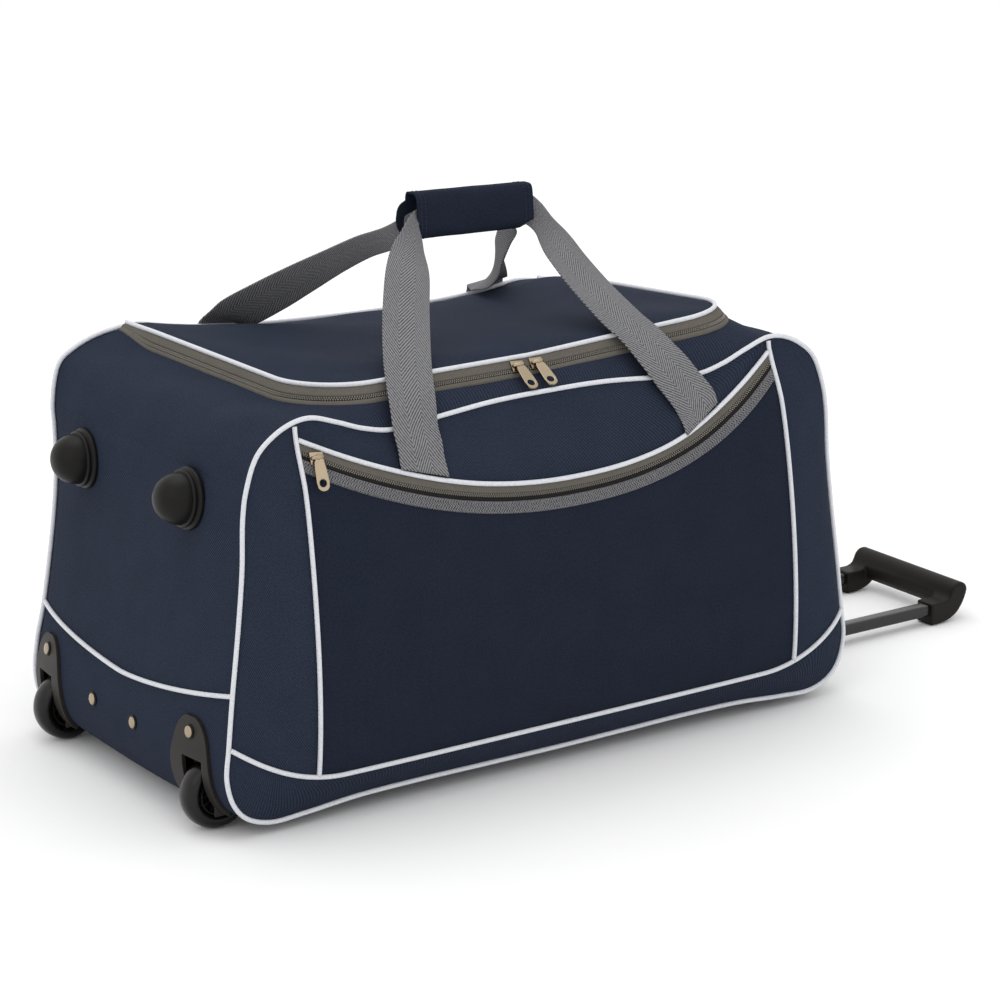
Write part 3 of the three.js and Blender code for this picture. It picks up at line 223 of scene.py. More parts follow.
def grid_lengths(grid: Array) -> tuple[Array, Array]:
    """Gives the lengths run along the rows and along the columns of a grid."""
    across = np.linalg.norm(np.diff(grid, axis=1), axis=2)
    upward = np.linalg.norm(np.diff(grid, axis=0), axis=2)
    rows = np.pad(np.cumsum(across, axis=1), ((0, 0), (1, 0)))
    columns = np.pad(np.cumsum(upward, axis=0), ((1, 0), (0, 0)))
    return rows, columns


def waves(points: Array, length: float, seed: int) -> Array:
    """Gives soft random waves over points, about -1 to 1.

    Args:
        points: Points in millimetres.
        length: The usual length of a wave.
        seed: Picks one of many fixed patterns.

    Returns:
        One height for each point.
    """
    dice = np.random.default_rng(seed)
    total = np.zeros(points.shape[:-1])
    for _ in range(7):
        way = unit(dice.normal(size=3))
        pitch = length * dice.uniform(0.7, 1.6)
        total += np.sin(points @ way * (2 * math.pi / pitch) + dice.uniform(0, 2 * math.pi))
    return total / 3.2


class Track:
    """A smooth run through the rows of a table, which passes through every row."""

    def __init__(self, rows: Rows | Array, closed: bool = False, measured: int = 2) -> None:
        """Works out the slopes at the rows.

        Args:
            rows: One row of numbers for each station.
            closed: Whether the last row leads back to the first.
            measured: How many leading columns count as distance.
        """
        table = np.asarray(rows, float)
        self.count = len(table)
        self.closed = closed
        if closed:
            table = np.concatenate([table[-2:], table, table[:3]])
        steps = np.linalg.norm(np.diff(table[:, :measured], axis=0), axis=1)
        gaps = np.sqrt(np.maximum(steps, 1e-6))
        rates = np.diff(table, axis=0) / gaps[:, None]
        before = gaps[:-1, None]
        after = gaps[1:, None]
        inner = (rates[:-1] * after + rates[1:] * before) / (before + after)
        self.table = table
        self.gaps = gaps
        self.slopes = np.concatenate([rates[:1], inner, rates[-1:]])

    def at(self, stops: Array) -> Array:
        """Reads the run between its rows.

        Args:
            stops: Row numbers, whole or between rows.

        Returns:
            One row of numbers for each stop.
        """
        stops = np.asarray(stops, float)
        if self.closed:
            stops = np.mod(stops, self.count) + 2.0
        low = np.clip(np.floor(stops).astype(int), 0, len(self.table) - 2)
        share = (stops - low)[..., None]
        gap = self.gaps[low][..., None]
        square = share * share
        cube = square * share
        return (
            (2 * cube - 3 * square + 1) * self.table[low]
            + (cube - 2 * square + share) * self.slopes[low] * gap
            + (3 * square - 2 * cube) * self.table[low + 1]
            + (cube - square) * self.slopes[low + 1] * gap
        )


@dataclass
class Skin:
    """A surface: its points, its faces and its cloth coordinates, in millimetres."""

    points: Array
    faces: list[tuple[int, ...]]
    cloth: Array | None = None

    @staticmethod
    def of_grid(grid: Array, closed_rows: bool = False, heart: Array = BAG_HEART) -> Skin:
        """Makes a surface of a grid, with cloth coordinates from its lengths.

        Args:
            grid: Rows by columns of points.
            closed_rows: Whether each row's end joins its start.
            heart: A point that the faces turn away from.

        Returns:
            The surface.
        """
        rows, columns = grid.shape[:2]
        index = np.arange(rows * columns).reshape(rows, columns)
        if closed_rows:
            index = np.concatenate([index, index[:, :1]], axis=1)
        corners = (index[:-1, :-1], index[:-1, 1:], index[1:, 1:], index[1:, :-1])
        quads = np.stack(corners, axis=-1).reshape(-1, 4)
        if faces_in(grid, heart):
            quads = quads[:, ::-1]
        along, upward = grid_lengths(grid)
        cloth = np.stack([along, upward], axis=-1).reshape(-1, 2)
        return Skin(grid.reshape(-1, 3), [tuple(quad) for quad in quads.tolist()], cloth)

    def joined(self, other: Skin) -> Skin:
        """Puts another surface beside this one."""
        shift = len(self.points)
        moved = [tuple(index + shift for index in face) for face in other.faces]
        cloth = None
        if self.cloth is not None and other.cloth is not None:
            cloth = np.concatenate([self.cloth, other.cloth])
        return Skin(np.concatenate([self.points, other.points]), self.faces + moved, cloth)

    def without(self, gone: Array) -> Skin:
        """Drops the faces whose middles are marked as gone."""
        kept = [face for face, lost in zip(self.faces, gone) if not lost]
        return Skin(self.points, kept, self.cloth)

    def face_middles(self) -> Array:
        """Gives the middle of each face, for faces with four corners."""
        return self.points[np.array(self.faces)].mean(axis=1)

    def posed(self, origin: Sequence[float], axis: Sequence[float]) -> Skin:
        """Stands a surface made about the z axis on a point, along another axis.

        Args:
            origin: Where the surface's own origin goes.
            axis: Where its z axis points.

        Returns:
            The moved surface.
        """
        up = unit(np.asarray(axis, float))
        right = unit(ANY_WAY - up * np.dot(ANY_WAY, up))
        turn = np.stack([right, np.cross(up, right), up])
        return Skin(self.points @ turn + np.asarray(origin, float), self.faces, self.cloth)


def turned(profile: Profile, segments: int, ring: bool = False) -> Skin:
    """Turns a profile about the z axis.

    Args:
        profile: Radius and height of each station.
        segments: How many steps make the round.
        ring: Whether the profile closes on itself.

    Returns:
        The turned surface.
    """
    stations = np.array(profile, float)
    if ring:
        stations = np.concatenate([stations, stations[:1]])
    angles = np.linspace(0.0, 2 * math.pi, segments, endpoint=False)
    rounds = [stacked(r * np.cos(angles), r * np.sin(angles), np.array(h)) for r, h in stations]
    return Skin.of_grid(np.stack(rounds), closed_rows=True)


def rounded(profile: Profile, steps: int = 4) -> Profile:
    """Softens the corners of a profile by cutting them, a few times over.

    Args:
        profile: Radius and height of each station.
        steps: How many points take the place of each inner corner.

    Returns:
        The softened profile.
    """
    stations = np.array(profile, float)
    soft = [tuple(stations[0])]
    for before, corner, after in zip(stations[:-2], stations[1:-1], stations[2:]):
        reach = 0.5 * min(np.linalg.norm(before - corner), np.linalg.norm(after - corner), 2.4)
        start = corner + unit(before - corner) * reach
        end = corner + unit(after - corner) * reach
        for share in np.linspace(0.0, 1.0, steps):
            soft.append(tuple(mix(mix(start, corner, share), mix(corner, end, share), share)))
    soft.append(tuple(stations[-1]))
    return soft


def tube(points: Array, radius: float, sides: int = 12, closed: bool = False) -> Skin:
    """Sweeps a round section along a line.

    Args:
        points: The line's points.
        radius: The section's radius.
        sides: How many sides the section has.
        closed: Whether the line's end joins its start.

    Returns:
        The tube, with its ends capped where it is open.
    """
    if closed:
        points = np.concatenate([points, points[:1]])
    way = unit(np.gradient(points, axis=0))
    if closed:
        way[0] = way[-1] = unit(points[1] - points[-2])
    across = np.empty_like(points)
    across[0] = unit(np.cross(way[0], np.array((0.21, 0.93, 0.3))))
    for station in range(1, len(points)):
        carried = across[station - 1] - way[station] * np.dot(across[station - 1], way[station])
        across[station] = unit(carried)
    above = np.cross(way, across)
    angles = np.linspace(0.0, 2 * math.pi, sides, endpoint=False)
    ring = across[:, None] * np.cos(angles)[None, :, None] + above[:, None] * np.sin(angles)[None, :, None]
    skin = Skin.of_grid(points[:, None] + ring * radius, closed_rows=True)
    skin.cloth = stacked(run_lengths(points)[:, None], angles[None] * radius).reshape(-1, 2)
    if not closed:
        last = len(points) * sides
        skin.faces.append(tuple(range(sides)))
        skin.faces.append(tuple(range(last - sides, last)))
    return skin


def raised(name: str, skin: Skin, merge: float = 0.02, recalculate: bool = True) -> bpy.types.Object:
    """Makes a mesh object of a surface.

    Args:
        name: The piece's name.
        skin: The surface in millimetres.
        merge: Points nearer than this, in millimetres, become one.
        recalculate: Whether the faces are turned outwards again, as a closed surface needs.

    Returns:
        The object, linked to the scene, with smooth shading.
    """
    mesh = bpy.data.meshes.new(name)
    mesh.from_pydata(placed(skin.points).tolist(), [], skin.faces)
    if skin.cloth is not None:
        corners = np.empty(len(mesh.loops), int)
        mesh.loops.foreach_get("vertex_index", corners)
        mesh.uv_layers.new(name=CLOTH_MAP).data.foreach_set("uv", skin.cloth[corners].ravel())
    work = bmesh.new()
    work.from_mesh(mesh)
    bmesh.ops.remove_doubles(work, verts=work.verts, dist=merge * MM)
    bmesh.ops.dissolve_degenerate(work, edges=work.edges, dist=1e-7)
    if recalculate:
        bmesh.ops.recalc_face_normals(work, faces=work.faces)
    work.to_mesh(mesh)
    work.free()
    mesh.shade_smooth()
    piece = bpy.data.objects.new(name, mesh)
    bpy.context.scene.collection.objects.link(piece)
    return piece


def realised(piece: bpy.types.Object, sharp: float = 40.0) -> bpy.types.Object:
    """Turns a piece with modifiers into a plain mesh.

    Args:
        piece: The object whose modifiers are done.
        sharp: Edges with a larger angle than this, in degrees, stay crisp.

    Returns:
        The same object with its finished mesh.
    """
    graph = bpy.context.evaluated_depsgraph_get()
    mesh = bpy.data.meshes.new_from_object(piece.evaluated_get(graph))
    piece.modifiers.clear()
    piece.data = mesh
    mesh.name = piece.name
    mesh.shade_smooth()
    mesh.set_sharp_from_angle(angle=math.radians(sharp))
    return piece


def walled(piece: bpy.types.Object, wall: float, outward: bool = False) -> bpy.types.Object:
    """Gives an open surface the thickness of its cloth or plate.

    Args:
        piece: The open surface.
        wall: Its thickness in millimetres.
        outward: Whether the thickness grows outwards instead of inwards.

    Returns:
        The same object as a closed sheet.
    """
    solid = piece.modifiers.new("wall", "SOLIDIFY")
    solid.thickness = wall * MM
    solid.offset = 1.0 if outward else -1.0
    return realised(piece, 60.0)


def bevelled(piece: bpy.types.Object, width: float, segments: int = 3,
             angle: float = 35.0) -> bpy.types.Object:
    """Rounds the sharp edges of a hard piece.

    Args:
        piece: The closed piece.
        width: The width of the rounding in millimetres.
        segments: How many steps it has.
        angle: Edges with a larger angle than this, in degrees, are rounded.

    Returns:
        The same object with rounded edges.
    """
    bevel = piece.modifiers.new("edge", "BEVEL")
    bevel.width = width * MM
    bevel.segments = segments
    bevel.limit_method = "ANGLE"
    bevel.angle_limit = math.radians(angle)
    return realised(piece, 50.0)


class NodeTool:
    """Short ways to lay and link the nodes of one tree."""

    tree: bpy.types.NodeTree

    def feed(self, socket: Socket, value: object) -> None:
        """Links a socket to another, or sets its value."""
        if isinstance(value, Socket):
            self.tree.links.new(value, socket)
        else:
            socket.default_value = value

    def add(self, kind: str, links: dict[str | int, object] | None = None,
            **settings: object) -> bpy.types.Node:
        """Adds a node, sets its properties and feeds its sockets.

        Args:
            kind: The node's type.
            links: For each input, a socket to link or a value to set.
            settings: The node's properties.

        Returns:
            The node.
        """
        node = self.tree.nodes.new(kind)
        for name, value in settings.items():
            setattr(node, name, value)
        for name, value in (links or {}).items():
            self.feed(node.inputs[name], value)
        return node

    def calc(self, operation: str, *values: object) -> Socket:
        """Adds a Math node and gives its result."""
        return self.add("ShaderNodeMath", dict(enumerate(values)), operation=operation).outputs[0]

    def vector(self, *parts: object) -> Socket:
        """Joins three numbers into a vector."""
        return self.add("ShaderNodeCombineXYZ", dict(enumerate(parts))).outputs[0]


class NodeBench(NodeTool):
    """The nodes of one material."""

    def __init__(self, name: str) -> None:
        """Starts a material with its shader."""
        self.material = bpy.data.materials.new(name)
        self.material.use_nodes = True
        self.tree = self.material.node_tree
        self.shader = self.tree.nodes["Principled BSDF"]

    def blend(self, share: object, first: object, second: object) -> Socket:
        """Adds a colour mix and gives its result."""
        return self.add("ShaderNodeMix", {0: share, 6: first, 7: second}, data_type="RGBA").outputs[2]

    def noise(self, place: Socket, scale: float, detail: float = 3.0) -> Socket:
        """Adds a noise texture and gives its value."""
        links = {"Vector": place, "Scale": scale, "Detail": detail}
        return self.add("ShaderNodeTexNoise", links).outputs["Fac"]

    def ridges(self, place: Socket, turn: float) -> Socket:
        """Gives rounded ridges, from 0 to 1, across a coordinate."""
        return self.calc("ABSOLUTE", self.calc("SINE", self.calc("MULTIPLY", place, turn)))

    def own_place(self) -> Socket:
        """Gives the piece's own coordinates."""
        return self.add("ShaderNodeTexCoord").outputs["Object"]

    def cloth(self) -> tuple[Socket, Socket, Socket]:
        """Gives the cloth coordinates: both together, across and along."""
        place = self.add("ShaderNodeUVMap", uv_map=CLOTH_MAP).outputs[0]
        parts = self.add("ShaderNodeSeparateXYZ", {0: place})
        return place, parts.outputs[0], parts.outputs[1]

    def bump(self, height: Socket, depth: float, strength: float) -> None:
        """Lets a height, in millimetres of depth, rough up the surface."""
        node = self.add("ShaderNodeBump", {"Height": height, "Distance": depth * MM, "Strength": strength})
        self.feed(self.shader.inputs["Normal"], node.outputs[0])

    def set(self, **values: object) -> None:
        """Sets the shader's own sockets, with _ for the spaces in their names."""
        for name, value in values.items():
            self.feed(self.shader.inputs[name.replace("_", " ")], value)


def paint(colour: Colour, factor: float = 1.0) -> tuple[float, float, float, float]:
    """Turns a screen colour of 0 to 255 into a shader colour, made lighter or darker by a factor."""
    linear = [((part / 255 + 0.055) / 1.055) ** 2.4 if part > 10 else part / 3294 for part in colour]
    return (linear[0] * factor, linear[1] * factor, linear[2] * factor, 1.0)


@dataclass(frozen=True)
class Finish:
    """What every finish has: a name, the slot it fills and a screen colour."""

    name: str
    slot: Slot
    colour: Colour

    def material(self) -> bpy.types.Material:
        """Gives the material, made at its first use."""
        made = bpy.data.materials.get(self.name)
        if made is None:
            bench = NodeBench(self.name)
            self.lay(bench)
            made = bench.material
        return made

    def lay(self, bench: NodeBench) -> None:
        """Lays the material's nodes."""
        raise NotImplementedError


@dataclass(frozen=True)
class Woven(Finish):
    """A woven cloth or tape whose yarns follow the piece."""

    weave: Weave = Weave.TWILL
    yarn: float = 0.9
    column: float = 11.5
    slope: float = 1.0
    contrast: float = 0.5
    mottle: float = 0.25
    mottle_scale: float = 0.025
    speckle: float = 0.5
    speckle_scale: float = 0.45
    under: float = 0.4
    tones: tuple[float, float] = (0.45, 1.55)
    depth: float = 0.16
    strength: float = 0.5
    roughness: float = 0.78
    specular: float = 0.03

    def height(self, bench: NodeBench, across: Socket, along: Socket) -> Socket:
        """Lays the nodes for the height of the crossing yarns.

        Args:
            bench: The material's bench.
            across: The cloth coordinate across the piece.
            along: The cloth coordinate along the piece.

        Returns:
            The height, from 0 between yarns to 1 on top of them.
        """
        turn = math.pi / self.yarn
        if self.weave in (Weave.HERRINGBONE, Weave.RIB):
            row = bench.calc("FLOOR", bench.calc("DIVIDE", across, self.column))
            side = bench.calc("FLOORED_MODULO", row, 2.0)
            way = bench.calc("MULTIPLY_ADD", side, 2.0 * self.slope, -self.slope)
            return bench.ridges(bench.calc("ADD", along, bench.calc("MULTIPLY", across, way)), turn)
        cells = [bench.calc("FLOOR", bench.calc("DIVIDE", part, self.yarn)) for part in (across, along)]
        place = bench.calc("FLOORED_MODULO", bench.calc("ADD", *cells), float(self.weave.value))
        over = bench.calc("LESS_THAN", place, self.weave.value / 2)
        under = bench.calc("MULTIPLY", bench.calc("SUBTRACT", 1.0, over), self.under)
        warp, weft = (
            bench.calc("MULTIPLY", bench.ridges(part, turn), share)
            for part, share in ((across, over), (along, under))
        )
        return bench.calc("ADD", warp, weft)

    def lay(self, bench: NodeBench) -> None:
        """Lays the nodes for crossing yarns, wide mottles and fine speckles."""
        place, across, along = bench.cloth()
        height = self.height(bench, across, along)
        fine = bench.noise(place, self.speckle_scale)
        tone = bench.calc("MULTIPLY_ADD", height, self.contrast, 0.5 - self.contrast / 2)
        for part, share in ((bench.noise(place, self.mottle_scale), self.mottle), (fine, self.speckle)):
            tone = bench.calc("ADD", tone, bench.calc("MULTIPLY_ADD", part, share, -share / 2))
        shade = bench.blend(tone, *(paint(self.colour, factor) for factor in self.tones))
        bench.set(Base_Color=shade, Roughness=self.roughness, Specular_IOR_Level=self.specular)
        bench.bump(bench.calc("ADD", height, fine), self.depth, self.strength)


@dataclass(frozen=True)
class Moulded(Finish):
    """A hard, rubber or metal surface with a fine grain and slight wear."""

    roughness: float = 0.42
    metallic: float = 0.0
    grain: float = 900.0
    wear_scale: float = 28.0
    wear: float = 0.22
    tones: tuple[float, float] = (0.72, 1.28)
    depth: float = 0.05
    strength: float = 0.25
    stretch: tuple[float, float, float] = (1.0, 1.0, 1.0)
    specular: float = 0.5

    def lay(self, bench: NodeBench) -> None:
        """Lays the nodes for the grain and the wear."""
        place = bench.own_place()
        turn = bench.add("ShaderNodeMapping", {"Vector": place, "Scale": self.stretch})
        fine = bench.noise(turn.outputs[0], self.grain, 2.0)
        wide = bench.noise(place, self.wear_scale, 4.0)
        tone = bench.calc("ADD", bench.calc("MULTIPLY", fine, 0.4), bench.calc("MULTIPLY", wide, 0.6))
        shade = bench.blend(tone, *(paint(self.colour, factor) for factor in self.tones))
        worn = bench.calc("MULTIPLY_ADD", wide, self.wear, self.roughness - self.wear / 2)
        bench.set(Base_Color=shade, Roughness=worn, Metallic=self.metallic, Specular_IOR_Level=self.specular)
        bench.bump(fine, self.depth, self.strength)


NAVY = Woven("navy_polyester", Slot.CLOTH, (42, 48, 62), yarn=0.78, contrast=1.1, speckle=0.7)
POCKET_NAVY = Woven("navy_pocket_polyester", Slot.CLOTH, (33, 38, 51), Weave.PLAIN, 1.15, contrast=1.1,
                    speckle=0.7)
PIPING = Woven("white_piping_cover", Slot.PIPING, (205, 207, 212), Weave.RIB, 1.1, contrast=0.1, mottle=0.08,
               depth=0.1, strength=0.25, roughness=0.5, specular=0.1)
TAPE = Woven("grey_zip_tape", Slot.TAPE, (92, 88, 82), Weave.RIB, 1.3, 3.0, contrast=0.5, depth=0.1)
# Painted shade: a dark ribbon laid in each zip's groove and lower strip, where the coil and the binding's
# edge throw shade.
GAP_PAINTED_SHADE = Woven("zip_gap_painted_shade", Slot.TAPE, (34, 33, 32), Weave.RIB, 1.0, 3.0, contrast=0.4, depth=0.1)
STRAP = Woven("grey_strap_webbing", Slot.WEBBING, (101, 101, 103), Weave.HERRINGBONE, 4.3, 15.33, 1.6,
              contrast=1.3, speckle=1.4, depth=0.5, strength=0.8, tones=(0.3, 1.8))
BINDING = Woven("grey_binding_webbing", Slot.WEBBING, (84, 84, 86), Weave.HERRINGBONE, 2.7, 2.7, contrast=1.7,
                speckle=2.4, depth=0.4, strength=0.8, tones=(0.2, 1.95))
COIL = Moulded("grey_zip_coil", Slot.TAPE, (122, 118, 111), 0.5, specular=0.2)
NAVY_THREAD = Moulded("navy_thread", Slot.CLOTH, (50, 57, 74), 0.7, specular=0.15)
GREY_THREAD = Moulded("grey_thread", Slot.WEBBING, (124, 124, 126), 0.7, specular=0.15)
BLACK = Moulded("black_moulding", Slot.PLASTIC, (20, 18, 17), 0.4, specular=0.16)
GRIP_BLACK = Moulded("black_grip_moulding", Slot.PLASTIC, (24, 20, 16), 0.5, specular=0.16)
SHIELD_GREY = Moulded("dark_shield_moulding", Slot.SHIELD, (38, 35, 33), 0.5, grain=700.0, specular=0.2)
RUBBER = Moulded("black_tyre", Slot.TYRE, (10, 10, 10), 0.27, specular=0.32)
TUBE_GREY = Moulded("dark_tube_metal", Slot.TUBE, (16, 14, 13), 0.26, grain=500.0, stretch=(0.05, 1.0, 1.0))
NICKEL = Moulded("pale_nickel", Slot.NICKEL, (164, 149, 126), 0.25, 1.0, 600.0, depth=0.02)


def settle(piece: bpy.types.Object, finish: Finish, nodes: Sequence[str] = (), body: Body = Body.BAG) -> None:
    """Gives a finished piece its material and its place in the frame.

    Args:
        piece: The finished object.
        finish: Its material.
        nodes: The solids that it stands for.
        body: The body it moves with.
    """
    piece.data.materials.clear()
    piece.data.materials.append(finish.material())
    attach(piece, body.value)
    if nodes:
        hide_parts(*nodes)
    LOG.info("%s: %d faces on %s", piece.name, len(piece.data.polygons), body.value)


def hard_piece(name: str, skin: Skin, finish: Finish, nodes: Sequence[str] = (), body: Body = Body.BAG,
               sharp: float = 40.0) -> None:
    """Makes and settles a hard piece of a closed surface.

    Args:
        name: The piece's name.
        skin: Its surface.
        finish: Its material.
        nodes: The solids that it stands for.
        body: The body it moves with.
        sharp: Edges with a larger angle than this, in degrees, stay crisp.
    """
    settle(realised(raised(name, skin), sharp), finish, nodes, body)


class PathTool(NodeTool):
    """A Geometry Nodes tree with named sizes that lays real geometry along a path."""

    def __init__(self, name: str, sizes: dict[str, float]) -> None:
        """Starts the tree with its inputs.

        Args:
            name: The tree's name.
            sizes: Each named size with its usual value, in metres or as a whole number.
        """
        self.tree = bpy.data.node_groups.new(name, "GeometryNodeTree")
        face = self.tree.interface
        face.new_socket("Geometry", in_out="INPUT", socket_type="NodeSocketGeometry")
        for label, value in sizes.items():
            kind = "NodeSocketInt" if isinstance(value, int) else "NodeSocketFloat"
            face.new_socket(label, in_out="INPUT", socket_type=kind).default_value = value
        self.finish = face.new_socket("Finish", in_out="INPUT", socket_type="NodeSocketMaterial").identifier
        face.new_socket("Geometry", in_out="OUTPUT", socket_type="NodeSocketGeometry")
        self.sizes = self.add("NodeGroupInput").outputs
        self.build()

    def build(self) -> None:
        """Lays the nodes of the tree."""
        raise NotImplementedError

    def steps(self) -> Socket:
        """Gives points along the path, one pitch apart."""
        curve = self.add("GeometryNodeMeshToCurve", {0: self.sizes[0]}).outputs[0]
        links = {0: curve, "Length": self.sizes["Pitch"]}
        return self.add("GeometryNodeResampleCurve", links, mode="LENGTH").outputs[0]

    def bead(self) -> Socket:
        """Gives a ball of size one, with few faces."""
        return self.add("GeometryNodeMeshUVSphere", {"Segments": 6, "Rings": 4, "Radius": 0.5}).outputs[0]

    def along(self, axis: str) -> Socket:
        """Gives the turn that lays an axis along the path."""
        tangent = self.add("GeometryNodeInputTangent").outputs[0]
        return self.add("FunctionNodeAlignRotationToVector", {"Vector": tangent}, axis=axis).outputs[0]

    def close(self, **links: object) -> None:
        """Ends the tree: sets things on points, makes them real and gives them their finish.

        Args:
            links: The named inputs of the node that sets the things.
        """
        laid = self.add("GeometryNodeInstanceOnPoints", links).outputs[0]
        real = self.add("GeometryNodeRealizeInstances", {0: laid}).outputs[0]
        dressed = self.add("GeometryNodeSetMaterial", {0: real, "Material": self.sizes["Finish"]}).outputs[0]
        self.add("NodeGroupOutput", {0: dressed})

    def make(self, name: str, lines: Sequence[Array], finish: Finish,
             outs: Sequence[Array] | None = None) -> bpy.types.Object:
        """Runs the tree over lines of points.

        Args:
            name: The piece's name.
            lines: One or more lines of points in millimetres.
            finish: The piece's material.
            outs: For each line, the direction that is up at each point.

        Returns:
            The result as a plain mesh object.
        """
        edges = []
        start = 0
        for line in lines:
            edges += [(start + step, start + step + 1) for step in range(len(line) - 1)]
            start += len(line)
        mesh = bpy.data.meshes.new(name)
        mesh.from_pydata(placed(np.concatenate(lines)).tolist(), edges, [])
        if outs is not None:
            up = mesh.attributes.new("out", "FLOAT_VECTOR", "POINT")
            up.data.foreach_set("vector", np.concatenate(outs).ravel())
        piece = bpy.data.objects.new(name, mesh)
        bpy.context.scene.collection.objects.link(piece)
        tool = piece.modifiers.new("tool", "NODES")
        tool.node_group = self.tree
        tool[self.finish] = finish.material()
        return realised(piece, 80.0)


class StitchTool(PathTool):
    """Lays a row of stitches along a line."""

    def __init__(self) -> None:
        """Names the sizes of a stitch."""
        super().__init__("stitch_row", {"Pitch": 0.0034, "Length": 0.0026, "Thread": 0.0006})

    def build(self) -> None:
        """Puts a thin rounded stitch at each step of the line."""
        thread = self.sizes["Thread"]
        size = self.vector(thread, thread, self.sizes["Length"])
        self.close(Points=self.steps(), Instance=self.bead(), Rotation=self.along("Z"), Scale=size)

    def sew(self, name: str, lines: Sequence[Array], finish: Finish) -> None:
        """Sews stitch rows along lines as one settled piece."""
        settle(self.make(name, lines, finish), finish)


class CoilTool(PathTool):
    """Lays the two interlocked rows of a zip's coil along a line."""

    overlap = 0.62
    rows = ((-0.24, 0.0), (0.24, 0.5))

    def __init__(self) -> None:
        """Names the sizes of the coil."""
        super().__init__("zip_coil", {"Pitch": 0.0023, "Span": 0.0036, "Bar": 0.0016, "Height": 0.0015})

    def bar(self, shift: float, lead: float) -> Socket:
        """Makes one bar of the coil.

        Args:
            shift: Its place across the zip, as a share of the span.
            lead: Its place along the zip, as a share of the pitch.

        Returns:
            The bar's geometry.
        """
        parts = [self.calc("MULTIPLY", self.sizes[name], share) for name, share in (
            ("Pitch", lead), ("Span", shift), ("Span", self.overlap))]
        place = self.vector(parts[0], parts[1], 0.0)
        size = self.vector(self.sizes["Bar"], parts[2], self.sizes["Height"])
        links = {0: self.bead(), "Translation": place, "Scale": size}
        return self.add("GeometryNodeTransform", links).outputs[0]

    def build(self) -> None:
        """Puts a pair of bars at each step, standing on the zip's own surface."""
        pair = self.add("GeometryNodeJoinGeometry")
        for shift, lead in self.rows:
            self.feed(pair.inputs[0], self.bar(shift, lead))
        up = self.add("GeometryNodeInputNamedAttribute", {"Name": "out"}, data_type="FLOAT_VECTOR")
        links = {"Rotation": self.along("X"), "Vector": up.outputs["Attribute"]}
        turn = self.add("FunctionNodeAlignRotationToVector", links, axis="Z", pivot_axis="X").outputs[0]
        self.close(Points=self.steps(), Instance=pair.outputs[0], Rotation=turn)


class FinTool(PathTool):
    """Sets thin fins round a point, as in a moulded wheel."""

    def __init__(self) -> None:
        """Names the sizes of the fins."""
        sizes = {"Fins": 12, "Inner": 0.006, "Outer": 0.0178, "Thick": 0.0014, "Deep": 0.014}
        super().__init__("hub_fins", sizes)

    def build(self) -> None:
        """Turns a ring of fins about the z axis."""
        sizes = self.sizes
        reach, total = (self.calc(way, sizes["Outer"], sizes["Inner"]) for way in ("SUBTRACT", "ADD"))
        links = {"Vertices": sizes["Fins"], "Radius": self.calc("MULTIPLY", total, 0.5)}
        ring = self.add("GeometryNodeMeshCircle", links).outputs[0]
        size = self.vector(reach, sizes["Thick"], sizes["Deep"])
        fin = self.add("GeometryNodeMeshCube", {"Size": size}).outputs[0]
        index = self.add("GeometryNodeInputIndex").outputs[0]
        turn = self.calc("MULTIPLY", index, self.calc("DIVIDE", 2 * math.pi, sizes["Fins"]))
        self.close(Points=ring, Instance=fin, Rotation=self.vector(0.0, 0.0, turn))


# Half of the bag's outline, from the middle of the base up to the middle of the top: x and z of the front
# seam, x and z of the back seam, and how far the cloth between them bellies out.
OUTLINE: Rows = (
    (0, 19, 0, 19, 14.5),
    (80, 19.5, 80, 19.5, 14.5),
    (150, 20, 150, 20, 14.5),
    (215, 19, 215, 19, 14),
    (268, 15, 268, 15, 10),
    (304, 14, 304, 14, 8),
    (326, 22, 326, 22, 8),
    (338, 36, 338, 36, 9),
    (344, 60, 342, 60, 10),
    (341, 88, 338.5, 88, 11),
    (335.3, 135.6, 329, 126, 11),
    (326.5, 200, 315.5, 200, 11),
    (321, 250, 309.5, 250, 9),
    (318.5, 295, 308.5, 295, 7),
    (314.5, 318, 309, 320, 5),
    (303, 347, 301, 348, 3),
    (286, 362, 285, 358.5, 2),
    (267, 370.5, 264, 366.5, 1),
    (250, 372, 244, 370.5, 0),
    (224, 364, 220, 373, 0),
    (198, 354.5, 196, 369.5, 0),
    (168, 348.5, 166, 365, 0),
    (120, 352.5, 120, 361, 0),
    (60, 357.5, 60, 358.5, 0),
    (0, 358.5, 0, 358, 0),
)


